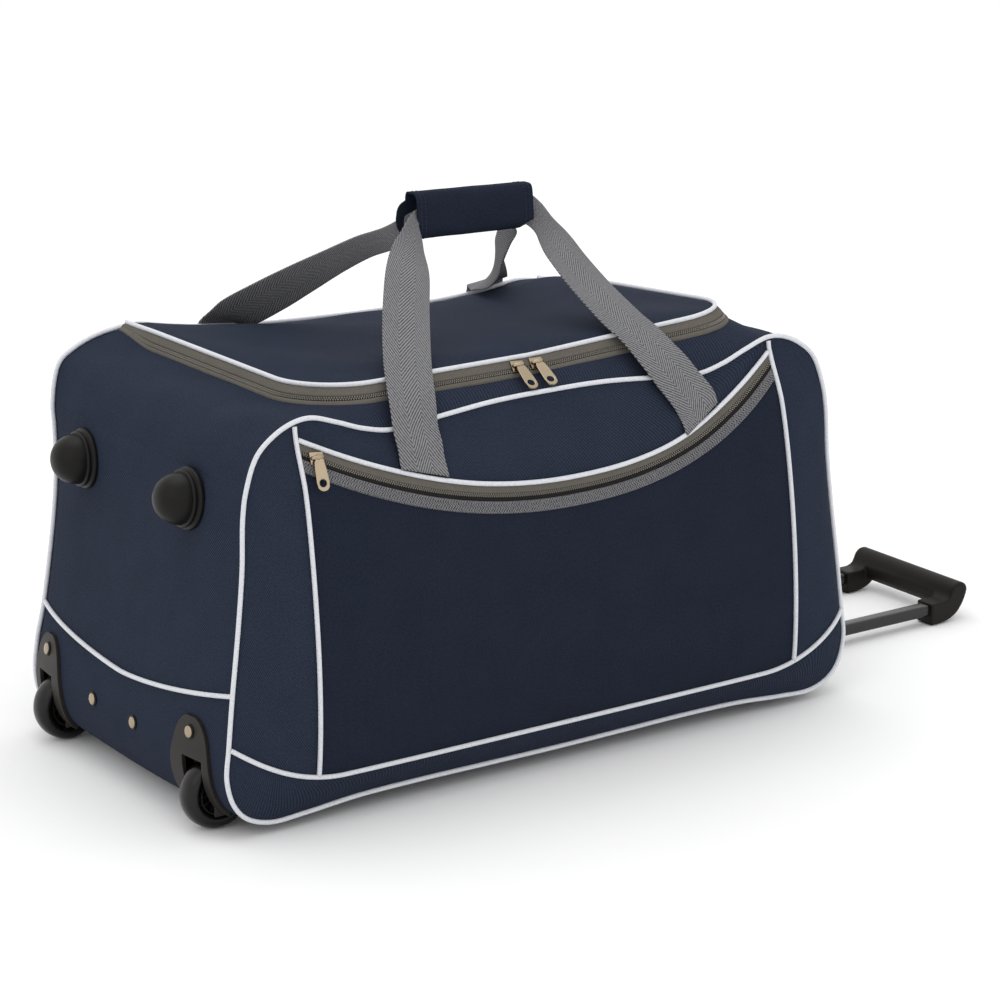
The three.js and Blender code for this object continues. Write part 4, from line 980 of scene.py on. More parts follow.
@dataclass
class BagForm:
    """The shape that all the cloth pieces share, with its seam lines."""

    edge_y: float = 189.0
    gusset_y: float = 188.2
    front_bulge: float = 32.0
    back_bulge: float = 24.0
    middle_z: float = 188.0
    half_z: float = 176.0
    under_top: float = 60.0
    over_base: float = 34.0
    band_z: float = 48.0
    band_rise: float = 40.0
    band_flat: float = 235.0
    band_end: float = 341.0
    pocket_top: float = 371.0
    pocket_sag: float = 284.0
    pocket_sag_x: float = 8.0
    lid_half: float = 236.0
    lid_front: float = -157.0
    lid_radius: float = 66.0
    lid_z: float = 386.0
    lid_stretch: tuple[float, float] = (0.97, 1.04)
    top_lean: float = 9.0
    lean_x: float = 240.0
    lean_z: tuple[float, float] = (310.0, 55.0)
    pocket_guess: float = 358.0
    seam_rise: float = 4.0
    seam_drop: float = 0.25
    fine: int = 400
    end_seam_z: float = 109.0
    end_seam_edges: tuple[float, float] = (135.6, 126.0)
    wheel_seam_x: tuple[float, float] = (-262.0, -267.0)
    handle_seam_x: tuple[float, float] = (272.0, 250.0)
    pocket_left: tuple[float, float, float] = (74.0, 275.0, 2.0)
    pocket_right: tuple[float, float, float] = (77.0, 242.0, 2.4)
    lid_tilt: float = 11.0
    lid_tilt_y: float = 150.0
    seam_from_y: float = 120.0
    seam_over_y: float = 66.8
    side_steps: int = 46
    arc_steps: int = 25
    front_steps: int = 77

    def __post_init__(self) -> None:
        """Lays the outline out as one closed run: up the handle end, down the wheel end."""
        rows = np.array(OUTLINE, float)
        start, reach = self.lean_z
        lean = np.clip(rows[:, 2] / self.lean_x, -1.0, 1.0) * eased((rows[:, 3] - start) / reach)
        handle = rows.copy()
        handle[:, 3] -= self.top_lean * lean
        wheel = rows.copy()
        wheel[:, 3] += self.top_lean * lean
        wheel[:, (0, 2)] *= -1
        self.around = 2 * Mark.TOP.value
        self.loop = Track(np.concatenate([handle, wheel[-2:0:-1]]), closed=True)
        self.sides = self.loop.at(np.linspace(Mark.TOE.value, Mark.CORNER.value, self.fine))
        over = np.linspace(Mark.CORNER.value, self.around - Mark.CORNER.value, 2 * self.fine)
        self.tops = self.loop.at(over)[::-1]
        self.bases = self.loop.at(np.linspace(0.0, Mark.TOE.value, self.fine))

    def stop(self, mark: Mark, end: End) -> float:
        """Gives the place of a mark in the closed run."""
        return float(mark.value if end is End.HANDLE else self.around - mark.value)

    def swell(self, x: Array, z: Array, depth: Depth) -> Array:
        """Gives how far the front or the back panel stands out of its outline.

        Args:
            x: Places along the bag.
            z: Heights.
            depth: Which of the two panels.

        Returns:
            The swell in millimetres.
        """
        column = 0 if depth is Depth.FRONT else 2
        most = self.front_bulge if depth is Depth.FRONT else self.back_bulge
        half = np.interp(z, self.sides[:, column + 1], self.sides[:, column])
        top = np.interp(x, self.tops[:, column], self.tops[:, column + 1])
        base = np.interp(np.abs(x), self.bases[:, column], self.bases[:, column + 1])
        along = np.minimum(1.0, np.abs(x) / half)
        upward = np.minimum(1.0, np.abs(z - self.middle_z) / self.half_z)
        face = (1 - along ** 6) ** 0.8 * (1 - upward ** 2) ** 0.6
        held = np.sqrt(eased((top - z) / self.under_top) * eased((z - base) / self.over_base))
        return most * face * held

    def front(self, x: Array, z: Array) -> Array:
        """Gives points of the front panel."""
        return stacked(x, -self.edge_y - self.swell(x, z, Depth.FRONT), z)

    def back(self, x: Array, z: Array) -> Array:
        """Gives points of the back panel."""
        return stacked(x, self.edge_y + self.swell(x, z, Depth.BACK), z)

    def front_normal(self, points: Array) -> Array:
        """Gives the outward normal of the front panel at some of its points."""
        x = points[:, 0]
        z = points[:, 2]
        slope_x = self.front(x + 0.5, z) - self.front(x - 0.5, z)
        slope_z = self.front(x, z + 0.5) - self.front(x, z - 0.5)
        return unit(np.cross(slope_x, slope_z))

    def outline(self, start: float, end: float, count: int, y: float, back: bool = False) -> Array:
        """Gives evenly spaced points of the outline at one depth.

        Args:
            start: First place in the closed run.
            end: Last place in the closed run.
            count: How many points.
            y: Their depth.
            back: Whether to read the back panel's outline.

        Returns:
            The points.
        """
        rows = self.loop.at(np.linspace(start, end, 40 * count))
        column = 2 if back else 0
        return evenly(stacked(rows[:, column], np.array(y), rows[:, column + 1]), count)

    def out_of(self, stops: Array) -> Array:
        """Gives the direction out of the bag, square to the outline."""
        way = self.loop.at(stops + 0.04) - self.loop.at(stops - 0.04)
        return unit(stacked(way[..., 1], np.array(0.0), -way[..., 0]))

    def gusset(self, stops: Array, y: Array) -> Array:
        """Gives points of the cloth between the front and back panels.

        Args:
            stops: Places in the closed run.
            y: Depths.

        Returns:
            The points.
        """
        rows = self.loop.at(stops)
        share = (y / self.gusset_y + 1) / 2
        flat = stacked(mix(rows[..., 0], rows[..., 2], share), y, mix(rows[..., 1], rows[..., 3], share))
        belly = rows[..., 4] * (1 - (y / self.gusset_y) ** 4)
        return flat + self.out_of(stops) * belly[..., None]

    def end_seam(self, y: Array) -> Array:
        """Gives the row of the outline that the curved seam of an end panel crosses at each depth."""
        rows = np.linspace(Mark.TOE.value, Mark.SHOULDER.value, self.fine)
        table = self.loop.at(rows)
        depths = np.ravel(y)
        edges = np.where(depths < 0, *self.end_seam_edges)
        wanted = mix(self.end_seam_z, edges, (np.abs(depths) / self.gusset_y) ** 1.5)
        shares = (depths / self.gusset_y + 1) / 2
        found = [
            np.interp(height, mix(table[:, 1], table[:, 3], share), rows)
            for height, share in zip(wanted, shares)
        ]
        return np.reshape(found, np.shape(y))

    def wheel_end(self, y: float, z: float) -> tuple[Array, Array]:
        """Gives the point and the normal of the wheel end's cloth at a depth and a height."""
        rows = np.linspace(5.0, 14.0, 700)
        line = self.gusset(self.around - rows, np.full_like(rows, y))
        row = np.interp(z, line[:, 2], rows)
        place = self.around - np.array([row, row + 0.05, row - 0.05, row, row])
        depths = np.array([y, y, y, y + 0.5, y - 0.5])
        points = self.gusset(place, depths)
        normal = unit(np.cross(points[1] - points[2], points[3] - points[4]))
        return points[0], normal if normal[0] < 0 else -normal

    def band_line(self, x: Array) -> Array:
        """Gives the front's lower seam."""
        rise = np.maximum(0.0, (np.abs(x) - self.band_flat) / (self.band_end - self.band_flat))
        return self.front(x, self.band_z + self.band_rise * rise ** 2)

    def side_seam(self, z: Array, end: End) -> Array:
        """Gives the x of a seam between the pocket and a side panel."""
        low, high = self.wheel_seam_x if end is End.WHEEL else self.handle_seam_x
        return mix(low, high, (z - self.band_z) / (self.pocket_top - self.band_z))

    def pocket_line(self, below: float, count: int = 140) -> Array:
        """Gives the curved top line of the pocket, or a line below it, from seam to seam."""
        ends = []
        for end in End:
            x = self.side_seam(np.array(self.pocket_guess - below), end)
            for _ in range(6):
                x = self.side_seam(self.pocket_z(x) - below, end)
            ends.append(float(x))
        x = np.linspace(ends[0], ends[1], count)
        return self.front(x, self.pocket_z(x) - below)

    def pocket_z(self, x: Array) -> Array:
        """Gives the height of the pocket's top line."""
        away = np.asarray(x, float) - self.pocket_sag_x
        height = self.pocket_sag
        for side, (rise, reach, power) in ((-away, self.pocket_left), (away, self.pocket_right)):
            height = height + rise * (np.maximum(side, 0.0) / reach) ** power
        return height

    def lid_height(self, x: Array, y: Array, drop: float) -> Array:
        """Gives the height of the line that the lid's zip follows."""
        level = self.lid_z - drop - self.lid_tilt * y * np.maximum(0.0, x) / (self.lid_tilt_y * self.lid_half)
        seam = np.interp(x, self.tops[:, 2], self.tops[:, 3]) + self.seam_rise - self.seam_drop * drop
        return mix(level, seam, eased((y - self.seam_from_y) / self.seam_over_y))

    def lid_line(self, grow: float, drop: float) -> Array:
        """Gives the line round the lid, from its back corner at the wheel end to the other one.

        Args:
            grow: How far outside the lid's edge.
            drop: How far below it.

        Returns:
            The points, as many for every line.
        """
        half = self.lid_half + grow
        near = self.lid_front - grow
        radius = self.lid_radius + grow / 2
        side_y = np.linspace(self.gusset_y, near + radius, self.side_steps)
        side = np.stack([np.full_like(side_y, -half), side_y], axis=-1)
        angles = np.linspace(math.pi, 1.5 * math.pi, self.arc_steps)[1:]
        ways = np.stack([np.cos(angles), np.sin(angles)], axis=-1)
        arc = np.array((radius - half, near + radius)) + radius * ways
        front_x = np.linspace(radius - half, 0.0, self.front_steps // 2 + 1)[1:]
        front = np.stack([front_x, np.full_like(front_x, near)], axis=-1)
        left = np.concatenate([side, arc, front])
        flat = np.concatenate([left, left[-2::-1] * np.array((-1.0, 1.0))])
        flat[:, 0] *= np.where(flat[:, 0] > 0, self.lid_stretch[1], self.lid_stretch[0])
        return stacked(flat[:, 0], flat[:, 1], self.lid_height(flat[:, 0], flat[:, 1], drop))

    @property
    def corner_step(self) -> int:
        """Gives the point of a lid line that is half way round its first corner."""
        return self.side_steps - 1 + self.arc_steps // 2


@dataclass(frozen=True)
class SewnLook:
    """How much a sewn panel stands off its seams, puckers and hangs slack."""

    rise: float = 1.3
    reach: float = 8.0
    pucker: float = 0.35
    pucker_pitch: float = 15.0
    pucker_drift: float = 2.2
    pucker_fade: float = 9.0
    slack: float = 0.8
    slack_length: float = 120.0
    slack_from: float = 22.0
    pucker_from: float = 2.5

    def applied(self, grid: Array, seed: int) -> Array:
        """Shapes a panel's grid.

        Args:
            grid: The panel's even shape.
            seed: Picks the pattern of its waves.

        Returns:
            The sewn shape.
        """
        across, upward = grid_lengths(grid)
        side = np.minimum(across, across[:, -1:] - across)
        level = np.minimum(upward, upward[-1:] - upward)
        away = np.minimum(side, level)
        lift = self.rise * (1 - np.exp(-((away / self.reach) ** 2)))
        turn = 2 * math.pi / self.pucker_pitch
        puckers = 0.0
        for run, drift, inward in ((across, 31.0, level), (upward, 29.0, side)):
            folds = np.sin(turn * run + self.pucker_drift * np.sin(run / drift))
            puckers = puckers + folds * np.exp(-inward / self.pucker_fade)
        inner = 1 - np.exp(-((away / self.slack_from) ** 2))
        puckers = puckers * (1 - np.exp(-((away / self.pucker_from) ** 2)))
        loose = self.slack * waves(grid, self.slack_length, seed) * inner
        return grid + grid_normals(grid) * (lift + self.pucker * puckers + loose)[..., None]


def cloth_piece(name: str, grid: Array, look: SewnLook, seed: int, finish: Woven = NAVY,
                nodes: Sequence[str] = ()) -> None:
    """Args:
        name: The piece's name.
        grid: The panel's even shape.
        look: How it is sewn.
        seed: Picks the pattern of its waves.
        finish: Its cloth.
        nodes: The solids it stands for.
    """
    piece = raised(name, Skin.of_grid(look.applied(grid, seed)), recalculate=False)
    settle(walled(piece, CLOTH_WALL), finish, nodes)


@dataclass
class FrontPanels:
    """The pocket side: two side panels, the yoke, the pocket and the lower band."""

    form: BagForm
    look: SewnLook = SewnLook()
    pocket_look: SewnLook = SewnLook(slack=1.6, slack_length=170.0)
    pocket_under: float = 26.5
    foot_guess: float = 50.0
    side_points: tuple[int, int] = (26, 90)
    pocket_points: int = 80
    yoke_points: int = 34
    band_points: tuple[int, int] = (180, 26)

    def lifted(self, bottom: Array, top: Array, left: Array, right: Array) -> Array:
        """Fills four lines and brings the grid onto the front's shape."""
        flat = patch(bottom, top, left, right)
        return self.form.front(flat[..., 0], flat[..., 2])

    def seam(self, low: Array, high: Array, end: End, count: int) -> Array:
        """Gives a side seam of the pocket between two points."""
        z = np.linspace(low[2], high[2], count)
        return self.form.front(self.form.side_seam(z, end), z)

    def foot(self, end: End) -> float:
        """Gives the x where a side seam meets the band."""
        x = self.form.side_seam(np.array(self.foot_guess), end)
        return float(self.form.side_seam(self.form.band_line(np.array([float(x)]))[0, 2], end))

    def side(self, end: End) -> Array:
        """Gives the grid of one side panel."""
        form = self.form
        wide, tall = self.side_points
        head = Mark.POCKET_LEFT if end is End.WHEEL else Mark.POCKET_RIGHT
        outer = form.outline(form.stop(Mark.BAND, end), form.stop(Mark.CORNER, end), tall, -form.edge_y)
        top = form.outline(form.stop(Mark.CORNER, end), form.stop(head, end), wide, -form.edge_y)
        bottom = form.band_line(np.linspace(outer[0, 0], self.foot(end), wide))
        return self.lifted(bottom, top, outer, self.seam(bottom[-1], top[-1], end, tall))

    def between(self, low: Array, high: Array, count: int) -> Array:
        """Gives the grid between two lines that run from side seam to side seam."""
        seams = [self.seam(low[spot], high[spot], end, count) for spot, end in zip((0, -1), End)]
        return self.lifted(low, high, *seams)

    def build(self) -> None:
        """Sews the five panels."""
        form = self.form
        for seed, end, node in ((11, End.WHEEL, "front_panel_left"), (12, End.HANDLE, "front_panel_right")):
            cloth_piece(f"{node}_cloth", self.side(end), self.look, seed, nodes=(node,))
        under = form.pocket_line(self.pocket_under)
        bottom = form.band_line(np.linspace(self.foot(End.WHEEL), self.foot(End.HANDLE), len(under)))
        pocket = self.between(bottom, under, self.pocket_points)
        cloth_piece("pocket_cloth", pocket, self.pocket_look, 13, POCKET_NAVY, ("front_pocket",))
        over = form.pocket_line(0.0)
        start = form.stop(Mark.POCKET_LEFT, End.WHEEL)
        top = form.outline(start, form.stop(Mark.POCKET_RIGHT, End.HANDLE), len(over), -form.edge_y)
        yoke = self.between(over, top, self.yoke_points)
        cloth_piece("yoke_cloth", yoke, self.look, 14, nodes=("front_yoke",))
        wide, tall = self.band_points
        start = form.stop(Mark.BAND, End.WHEEL)
        low = form.outline(start, form.around + form.stop(Mark.BAND, End.HANDLE), wide, -form.edge_y)
        high = form.band_line(np.linspace(low[0, 0], low[-1, 0], wide))
        flat = mix(low[None], high[None], np.linspace(0.0, 1.0, tall)[:, None, None])
        band = form.front(flat[..., 0], flat[..., 2])
        cloth_piece("lower_band_cloth", band, self.look, 15, nodes=("front_lower_band",))


@dataclass
class BodyPanels:
    """The back, the two ends, the cloth round the base and the top cloth outside the zip."""

    form: BagForm
    look: SewnLook = SewnLook()
    depths: int = 97
    diagonal: int = 14
    rise: int = 26
    back_points: tuple[int, int] = (150, 80)
    end_points: int = 60
    base_points: int = 190
    wheel_cut_half: float = 19.0
    wheel_cut_x: float = -296.0
    wheel_cut_z: float = 72.5
    tube_cut: tuple[float, float] = (8.4, 6.4)
    tube_cut_x: float = 250.0
    zip_edge: tuple[float, float] = (10.0, 14.0)
    seam_lift: float = 1.1
    top_flat: tuple[float, float] = (0.09, 1.25)
    top_area: float = 0.0815
    top_rounds: int = 14
    top_slack: float = 0.9
    top_wave: float = 95.0

    def back_grid(self) -> Array:
        """Gives the back panel's grid."""
        form = self.form
        y = form.edge_y
        wide, tall = self.back_points
        band = [form.stop(Mark.BAND, end) for end in End]
        corner = [form.stop(Mark.CORNER, end) for end in End]
        bottom = form.outline(band[0], form.around + band[1], wide, y, back=True)
        top = form.outline(corner[0], corner[1], wide, y, back=True)
        left = form.outline(band[0], corner[0], tall, y, back=True)
        right = form.outline(band[1], corner[1], tall, y, back=True)
        flat = patch(bottom, top, left, right)
        return form.back(flat[..., 0], flat[..., 2])

    def end_grid(self, end: End) -> Array:
        """Gives the grid of one end's flat panel, above its curved seam."""
        form = self.form
        y = np.linspace(-form.gusset_y, form.gusset_y, self.depths)[None]
        share = np.linspace(0.0, 1.0, self.end_points)[:, None]
        rows = mix(form.end_seam(y), float(Mark.SHOULDER.value), share)
        stops = rows if end is End.HANDLE else form.around - rows
        return form.gusset(stops, np.broadcast_to(y, rows.shape))

    def base_skin(self) -> tuple[Skin, Array]:
        """Gives the cloth round the base, from one end's seam to the other, with its cut-outs.

        Returns:
            The surface, and its grid for the size of the cut.
        """
        form = self.form
        y = np.linspace(-form.gusset_y, form.gusset_y, self.depths)[None]
        share = np.linspace(0.0, 1.0, self.base_points)[:, None]
        reach = form.end_seam(y)
        stops = mix(form.around - reach, form.around + reach, share)
        grid = form.gusset(stops, np.broadcast_to(y, stops.shape))
        skin = Skin.of_grid(self.look.applied(grid, 23))
        x, y, z = skin.face_middles().T
        wheel = np.minimum(*(np.abs(y - place) for place in WHEEL_Y)) < self.wheel_cut_half
        wheel &= (x < self.wheel_cut_x) & (z < self.wheel_cut_z)
        wide, high = self.tube_cut
        pipe = (np.abs(np.abs(y) - TROLLEY_Y) < wide) & (np.abs(z - TROLLEY_Z) < high) & (x > self.tube_cut_x)
        return skin.without(wheel | pipe), grid

    def top_skin(self) -> Skin:
        """Gives the cloth outside the zip: a shoulder at each end and the strip along the front."""
        form = self.form
        low = form.lid_line(*self.zip_edge)
        corner = form.corner_step
        skin: Skin | None = None
        diagonals = []
        for end in End:
            line = low if end is End.WHEEL else low[::-1]
            inner = line[corner::-1]
            shoulder = form.stop(Mark.SHOULDER, end)
            head = form.stop(Mark.POCKET_RIGHT, end)
            edge = form.outline(shoulder, head, self.rise, -form.gusset_y)
            diagonals.append(mix(edge[-1], inner[0], np.linspace(0.0, 1.0, self.diagonal)[:, None]))
            front = np.concatenate([edge, diagonals[-1][1:]])
            rows = form.loop.at(np.linspace(shoulder, head, 200))
            meets = shoulder + (head - shoulder) * np.mean(np.abs(rows[:, 2]) > np.abs(inner[-1, 0]))
            back = form.outline(shoulder, meets, len(front), form.gusset_y, back=True)
            back[-1] = inner[-1]
            y = np.linspace(-form.gusset_y, form.gusset_y, len(inner))
            stops = np.full_like(y, shoulder - 0.1 * end.value)
            seam = form.gusset(stops, y) + form.out_of(stops) * self.seam_lift
            part = Skin.of_grid(patch(seam, inner, front, back))
            skin = part if skin is None else skin.joined(part)
        top = low[corner:len(low) - corner]
        ends = [form.stop(Mark.POCKET_RIGHT, end) for end in End]
        edge = form.outline(*ends, len(top), -form.gusset_y)
        return skin.joined(Skin.of_grid(patch(edge, top, *diagonals)))

    def relaxed(self, piece: bpy.types.Object, seed: int) -> None:
        """Smooths the inside of the top cloth and lets it wave a little."""
        work = bmesh.new()
        work.from_mesh(piece.data)
        inner = [vertex for vertex in work.verts if not vertex.is_boundary]
        axes = {f"use_axis_{axis}": True for axis in "xyz"}
        for _ in range(self.top_rounds):
            bmesh.ops.smooth_vert(work, verts=inner, factor=0.5, **axes)
        work.normal_update()
        points = np.array([vertex.co[:] for vertex in inner]) / MM
        heights = self.top_slack * waves(points, self.top_wave, seed) * MM
        for vertex, height in zip(inner, heights.tolist()):
            vertex.co += vertex.normal * height
        work.to_mesh(piece.data)
        work.free()

    def build(self) -> None:
        """Sews the panels."""
        cloth_piece("back_cloth", self.back_grid(), self.look, 21, nodes=("back_panel",))
        for seed, end, node in ((22, End.WHEEL, "wheel_end_panel"), (24, End.HANDLE, "handle_end_panel")):
            cloth_piece(f"{node}_cloth", self.end_grid(end), self.look, seed, nodes=(node,))
        skin, grid = self.base_skin()
        base = walled(raised("base_cloth", skin, recalculate=False), CLOTH_WALL)
        settle(base, NAVY, ("wheel_end_lower", "base_panel", "handle_end_lower"))
        top = raised("top_cloth", self.top_skin(), merge=0.3)
        self.relaxed(top, 25)
        walled(top, CLOTH_WALL)
        settle(top, NAVY, ("wheel_end_shoulder", "front_top_strip", "handle_end_shoulder"))


@dataclass
class Lid:
    """The zipped top of the bag."""

    form: BagForm
    crown: float = 9.0
    back_rise: float = 4.0
    look: SewnLook = SewnLook(rise=1.4, slack=2.2, slack_length=150.0)

    def build(self) -> None:
        """Sews the lid."""
        form = self.form
        line = form.lid_line(0.0, 0.0)
        corner = form.corner_step
        front = line[corner:len(line) - corner]
        left = line[corner::-1]
        right = line[len(line) - corner - 1:]
        x = np.linspace(left[-1, 0], right[-1, 0], len(front))
        rise = self.back_rise * (np.abs(x) / form.lid_half) ** 6
        back = stacked(x, np.array(form.gusset_y), np.interp(x, form.tops[:, 2], form.tops[:, 3]) + rise)
        grid = patch(front, back, left, right)
        across = np.linspace(-1.0, 1.0, grid.shape[1])[None]
        upward = np.linspace(-1.0, 1.0, grid.shape[0])[:, None]
        grid[..., 2] += self.crown * (1 - across ** 4) * (1 - upward ** 4)
        cloth_piece("lid_cloth", grid, self.look, 31, nodes=("lid",))


@dataclass
class Piping:
    """The white piping along the seams."""

    form: BagForm
    radius: float = 2.2
    out: float = 2.0
    lift: float = 1.7
    step: float = 3.0
    outset: float = 0.4
    heads: tuple[float, float] = (369.0, 370.5)
    band_half: float = 340.5
    lid_edge: tuple[float, float] = (0.5, 0.0)
    lid_lift: float = 1.2

    def cord(self, node: str, points: Array, closed: bool = False) -> None:
        """Lays one run of piping."""
        count = max(16, int(run_lengths(points)[-1] / self.step))
        skin = tube(evenly(points, count), self.radius, closed=closed)
        settle(raised(f"{node}_cover", skin), PIPING, (node,))

    def on_front(self, points: Array) -> Array:
        """Lifts a seam's points onto the front's surface."""
        return points + self.form.front_normal(points) * self.lift

    def build(self) -> None:
        """Lays all the piping."""
        form = self.form
        stops = np.linspace(0.0, form.around, 900, endpoint=False)
        rows = form.loop.at(stops)
        for node, sign, column in (("front_outline_piping", -1, 0), ("back_outline_piping", 1, 2)):
            edge = stacked(rows[:, column], np.array(sign * (form.edge_y + self.outset)), rows[:, column + 1])
            self.cord(node, edge + form.out_of(stops) * self.out, closed=True)
        panels = FrontPanels(form)
        for node, end, head in zip(("front_left_piping", "front_right_piping"), End, self.heads):
            foot = form.band_line(np.array([panels.foot(end)]))[0]
            z = np.linspace(foot[2] + 1.0, head, 120)
            self.cord(node, self.on_front(form.front(form.side_seam(z, end), z)))
        band = form.band_line(np.linspace(-self.band_half, self.band_half, 300))
        self.cord("front_band_piping", self.on_front(band))
        self.cord("pocket_piping", self.on_front(form.pocket_line(0.0, 240)[1:-1]))
        y = np.linspace(-form.gusset_y, form.gusset_y, 160)
        row = form.end_seam(y)
        for node, end in (("wheel_end_piping", End.WHEEL), ("handle_end_piping", End.HANDLE)):
            stops = row if end is End.HANDLE else form.around - row
            self.cord(node, form.gusset(stops, y) + form.out_of(stops) * self.lift)
        lid = form.lid_line(*self.lid_edge)
        lid[:, 2] += self.lid_lift
        self.cord("lid_piping", lid)


@dataclass
class Zips:
    """The two zips: their tapes, the pocket's binding and their coils."""

    form: BagForm
    coil: CoilTool
    stitch: StitchTool
    profile: Rows = (
        (0.0, -0.4), (0.06, 0.6), (0.2, 1.0), (0.42, 1.0), (0.48, 0.7), (0.5, -0.5), (0.52, -0.9),
        (0.7, -0.9), (0.72, -0.5), (0.74, 0.6), (0.84, 0.9), (0.93, 0.6), (1.0, -0.5),
    )
    binding_profile: Rows = ((0.0, -0.4), (0.05, 1.5), (0.12, 2.0), (0.88, 2.0), (0.95, 1.5), (1.0, 0.2))
    main_edges: Rows = ((1.0, 0.5), (11.5, 15.0))
    pocket_edges: tuple[float, float] = (1.0, 16.5)
    binding_edges: tuple[float, float] = (15.4, 27.2)
    pocket_steps: int = 260
    tape_steps: int = 45
    binding_steps: int = 31
    stitch_rows: tuple[int, int] = (4, 26)
    stitch_lift: float = 0.25
    tape_wall: float = 1.0
    binding_wall: float = 1.2
    shade_sheet_wall: float = 0.3
    shade_sheet_lift: float = 0.4
    shade_sheet_above: int = 4
    coil_share: float = 0.61
    coil_lift: float = 1.0

    def ribbon(self, upper: Array, lower: Array, profile: Rows, steps: int) -> Array:
        """Gives a tape between two lines with a shaped cross section.

        Args:
            upper: The tape's upper edge.
            lower: Its lower edge.
            profile: Share of the way down and rise of each station.
            steps: How many stations the section gets.

        Returns:
            The tape's grid.
        """
        stations = np.array(profile, float)
        share = np.linspace(0.0, 1.0, steps)
        rise = np.interp(share, stations[:, 0], stations[:, 1])
        flat = mix(upper[None], lower[None], share[:, None, None])
        return flat + grid_normals(flat) * rise[:, None, None]

    def tape(self, name: str, grid: Array, nodes: Sequence[str], finish: Woven, wall: float) -> None:
        """Makes a tape from its grid, with its yarns across it."""
        skin = Skin.of_grid(grid)
        skin.cloth = skin.cloth[:, ::-1]
        settle(walled(raised(name, skin, recalculate=False), wall), finish, nodes)

    def make_zip(self, name: str, upper: Array, lower: Array, below: int) -> None:
        """Makes a tape with its coil, over a dark sheet of painted shade in its groove.

        Args:
            name: The zip's name.
            upper: The tape's upper edge.
            lower: Its lower edge.
            below: How many of the tape's rows the dark sheet of painted shade reaches below the coil.
        """
        grid = self.ribbon(upper, lower, self.profile, self.tape_steps)
        self.tape(f"{name}_tape", grid, (name,), TAPE, self.tape_wall)
        row = int(round(self.coil_share * (len(grid) - 1)))
        up = grid_normals(grid)[row]
        # A dark sheet of painted shade, laid in the groove under the coil and over the tape below it.
        gap = grid[row - self.shade_sheet_above:row + below] + up * self.shade_sheet_lift
        self.tape(f"{name}_gap", gap, (), GAP_PAINTED_SHADE, self.shade_sheet_wall)
        settle(self.coil.make(f"{name}_coil", [grid[row] + up * self.coil_lift], COIL, [up]), COIL)

    def build(self) -> None:
        """Makes both zips and the binding."""
        form = self.form
        self.make_zip("main_zip", *(form.lid_line(*edge) for edge in self.main_edges), below=5)
        pocket, binding = (
            [form.pocket_line(edge, self.pocket_steps) for edge in edges]
            for edges in (self.pocket_edges, self.binding_edges)
        )
        self.make_zip("pocket_zip", *pocket, below=16)
        grid = self.ribbon(*binding, self.binding_profile, self.binding_steps)
        self.tape("pocket_binding_webbing", grid, ("pocket_binding",), BINDING, self.binding_wall)
        up = grid_normals(grid)
        rows = [grid[row] + up[row] * self.stitch_lift for row in self.stitch_rows]
        self.stitch.sew("pocket_binding_stitches", rows, GREY_THREAD)


# Stations of each carry strap, from its sewn end at the wheels to the other one: the middle point, the
# direction across the webbing, its width and how far one edge leads the other.
FRONT_STRAP: Rows = (
    (-147, -207.5, 312, 1, 0, 0, 46, -14),
    (-147, -206, 321, 1, 0, 0, 46, 0),
    (-147, -203.5, 334, 1, 0, 0, 46, 0),
    (-147, -196.5, 349, 1, 0, 0, 46, 0),
    (-143, -186, 368, 1, 0, 0, 46, 0),
    (-127, -153, 398, 1, 0, 0, 46, 0),
    (-97, -105, 437, 1, -0.1, -0.2, 46, 0),
    (-74, -73, 463, 0.95, -0.15, -0.25, 42, 0),
    (-55, -47, 480, 0.8, -0.2, -0.5, 29, 0),
    (-46, -39, 497, 0.5, -0.25, -0.8, 13, 0),
    (-36, -34, 501, 0, -0.28, -1, 14, 0),
    (-14, -31, 498, 0, -0.28, -1, 30, 0),
    (80, -31, 494, 0, -0.28, -1, 34, 0),
    (90, -33, 488, 0, -0.28, -1, 26, 0),
    (96, -43, 477.5, -0.4, -0.3, -0.85, 22, 0),
    (97.5, -58, 466, -0.8, -0.2, -0.6, 29, 0),
    (98, -78, 452, -1, 0, -0.1, 38, 0),
    (102, -110, 430, -1, 0, 0.05, 45, 0),
    (109, -148, 406, -1, 0, 0, 46, 0),
    (117, -171, 390.5, -1, 0, 0, 46, 0),
    (127, -188, 371, -1, 0, 0, 46, 0),
    (140, -197.5, 351, -1, 0, 0, 46, 0),
    (150, -203.8, 335, -1, 0, 0, 46, 0),
    (156, -206, 324, -1, 0, 0, 46, 0),
    (158, -207.5, 313, -1, 0, 0, 46, 19),
)
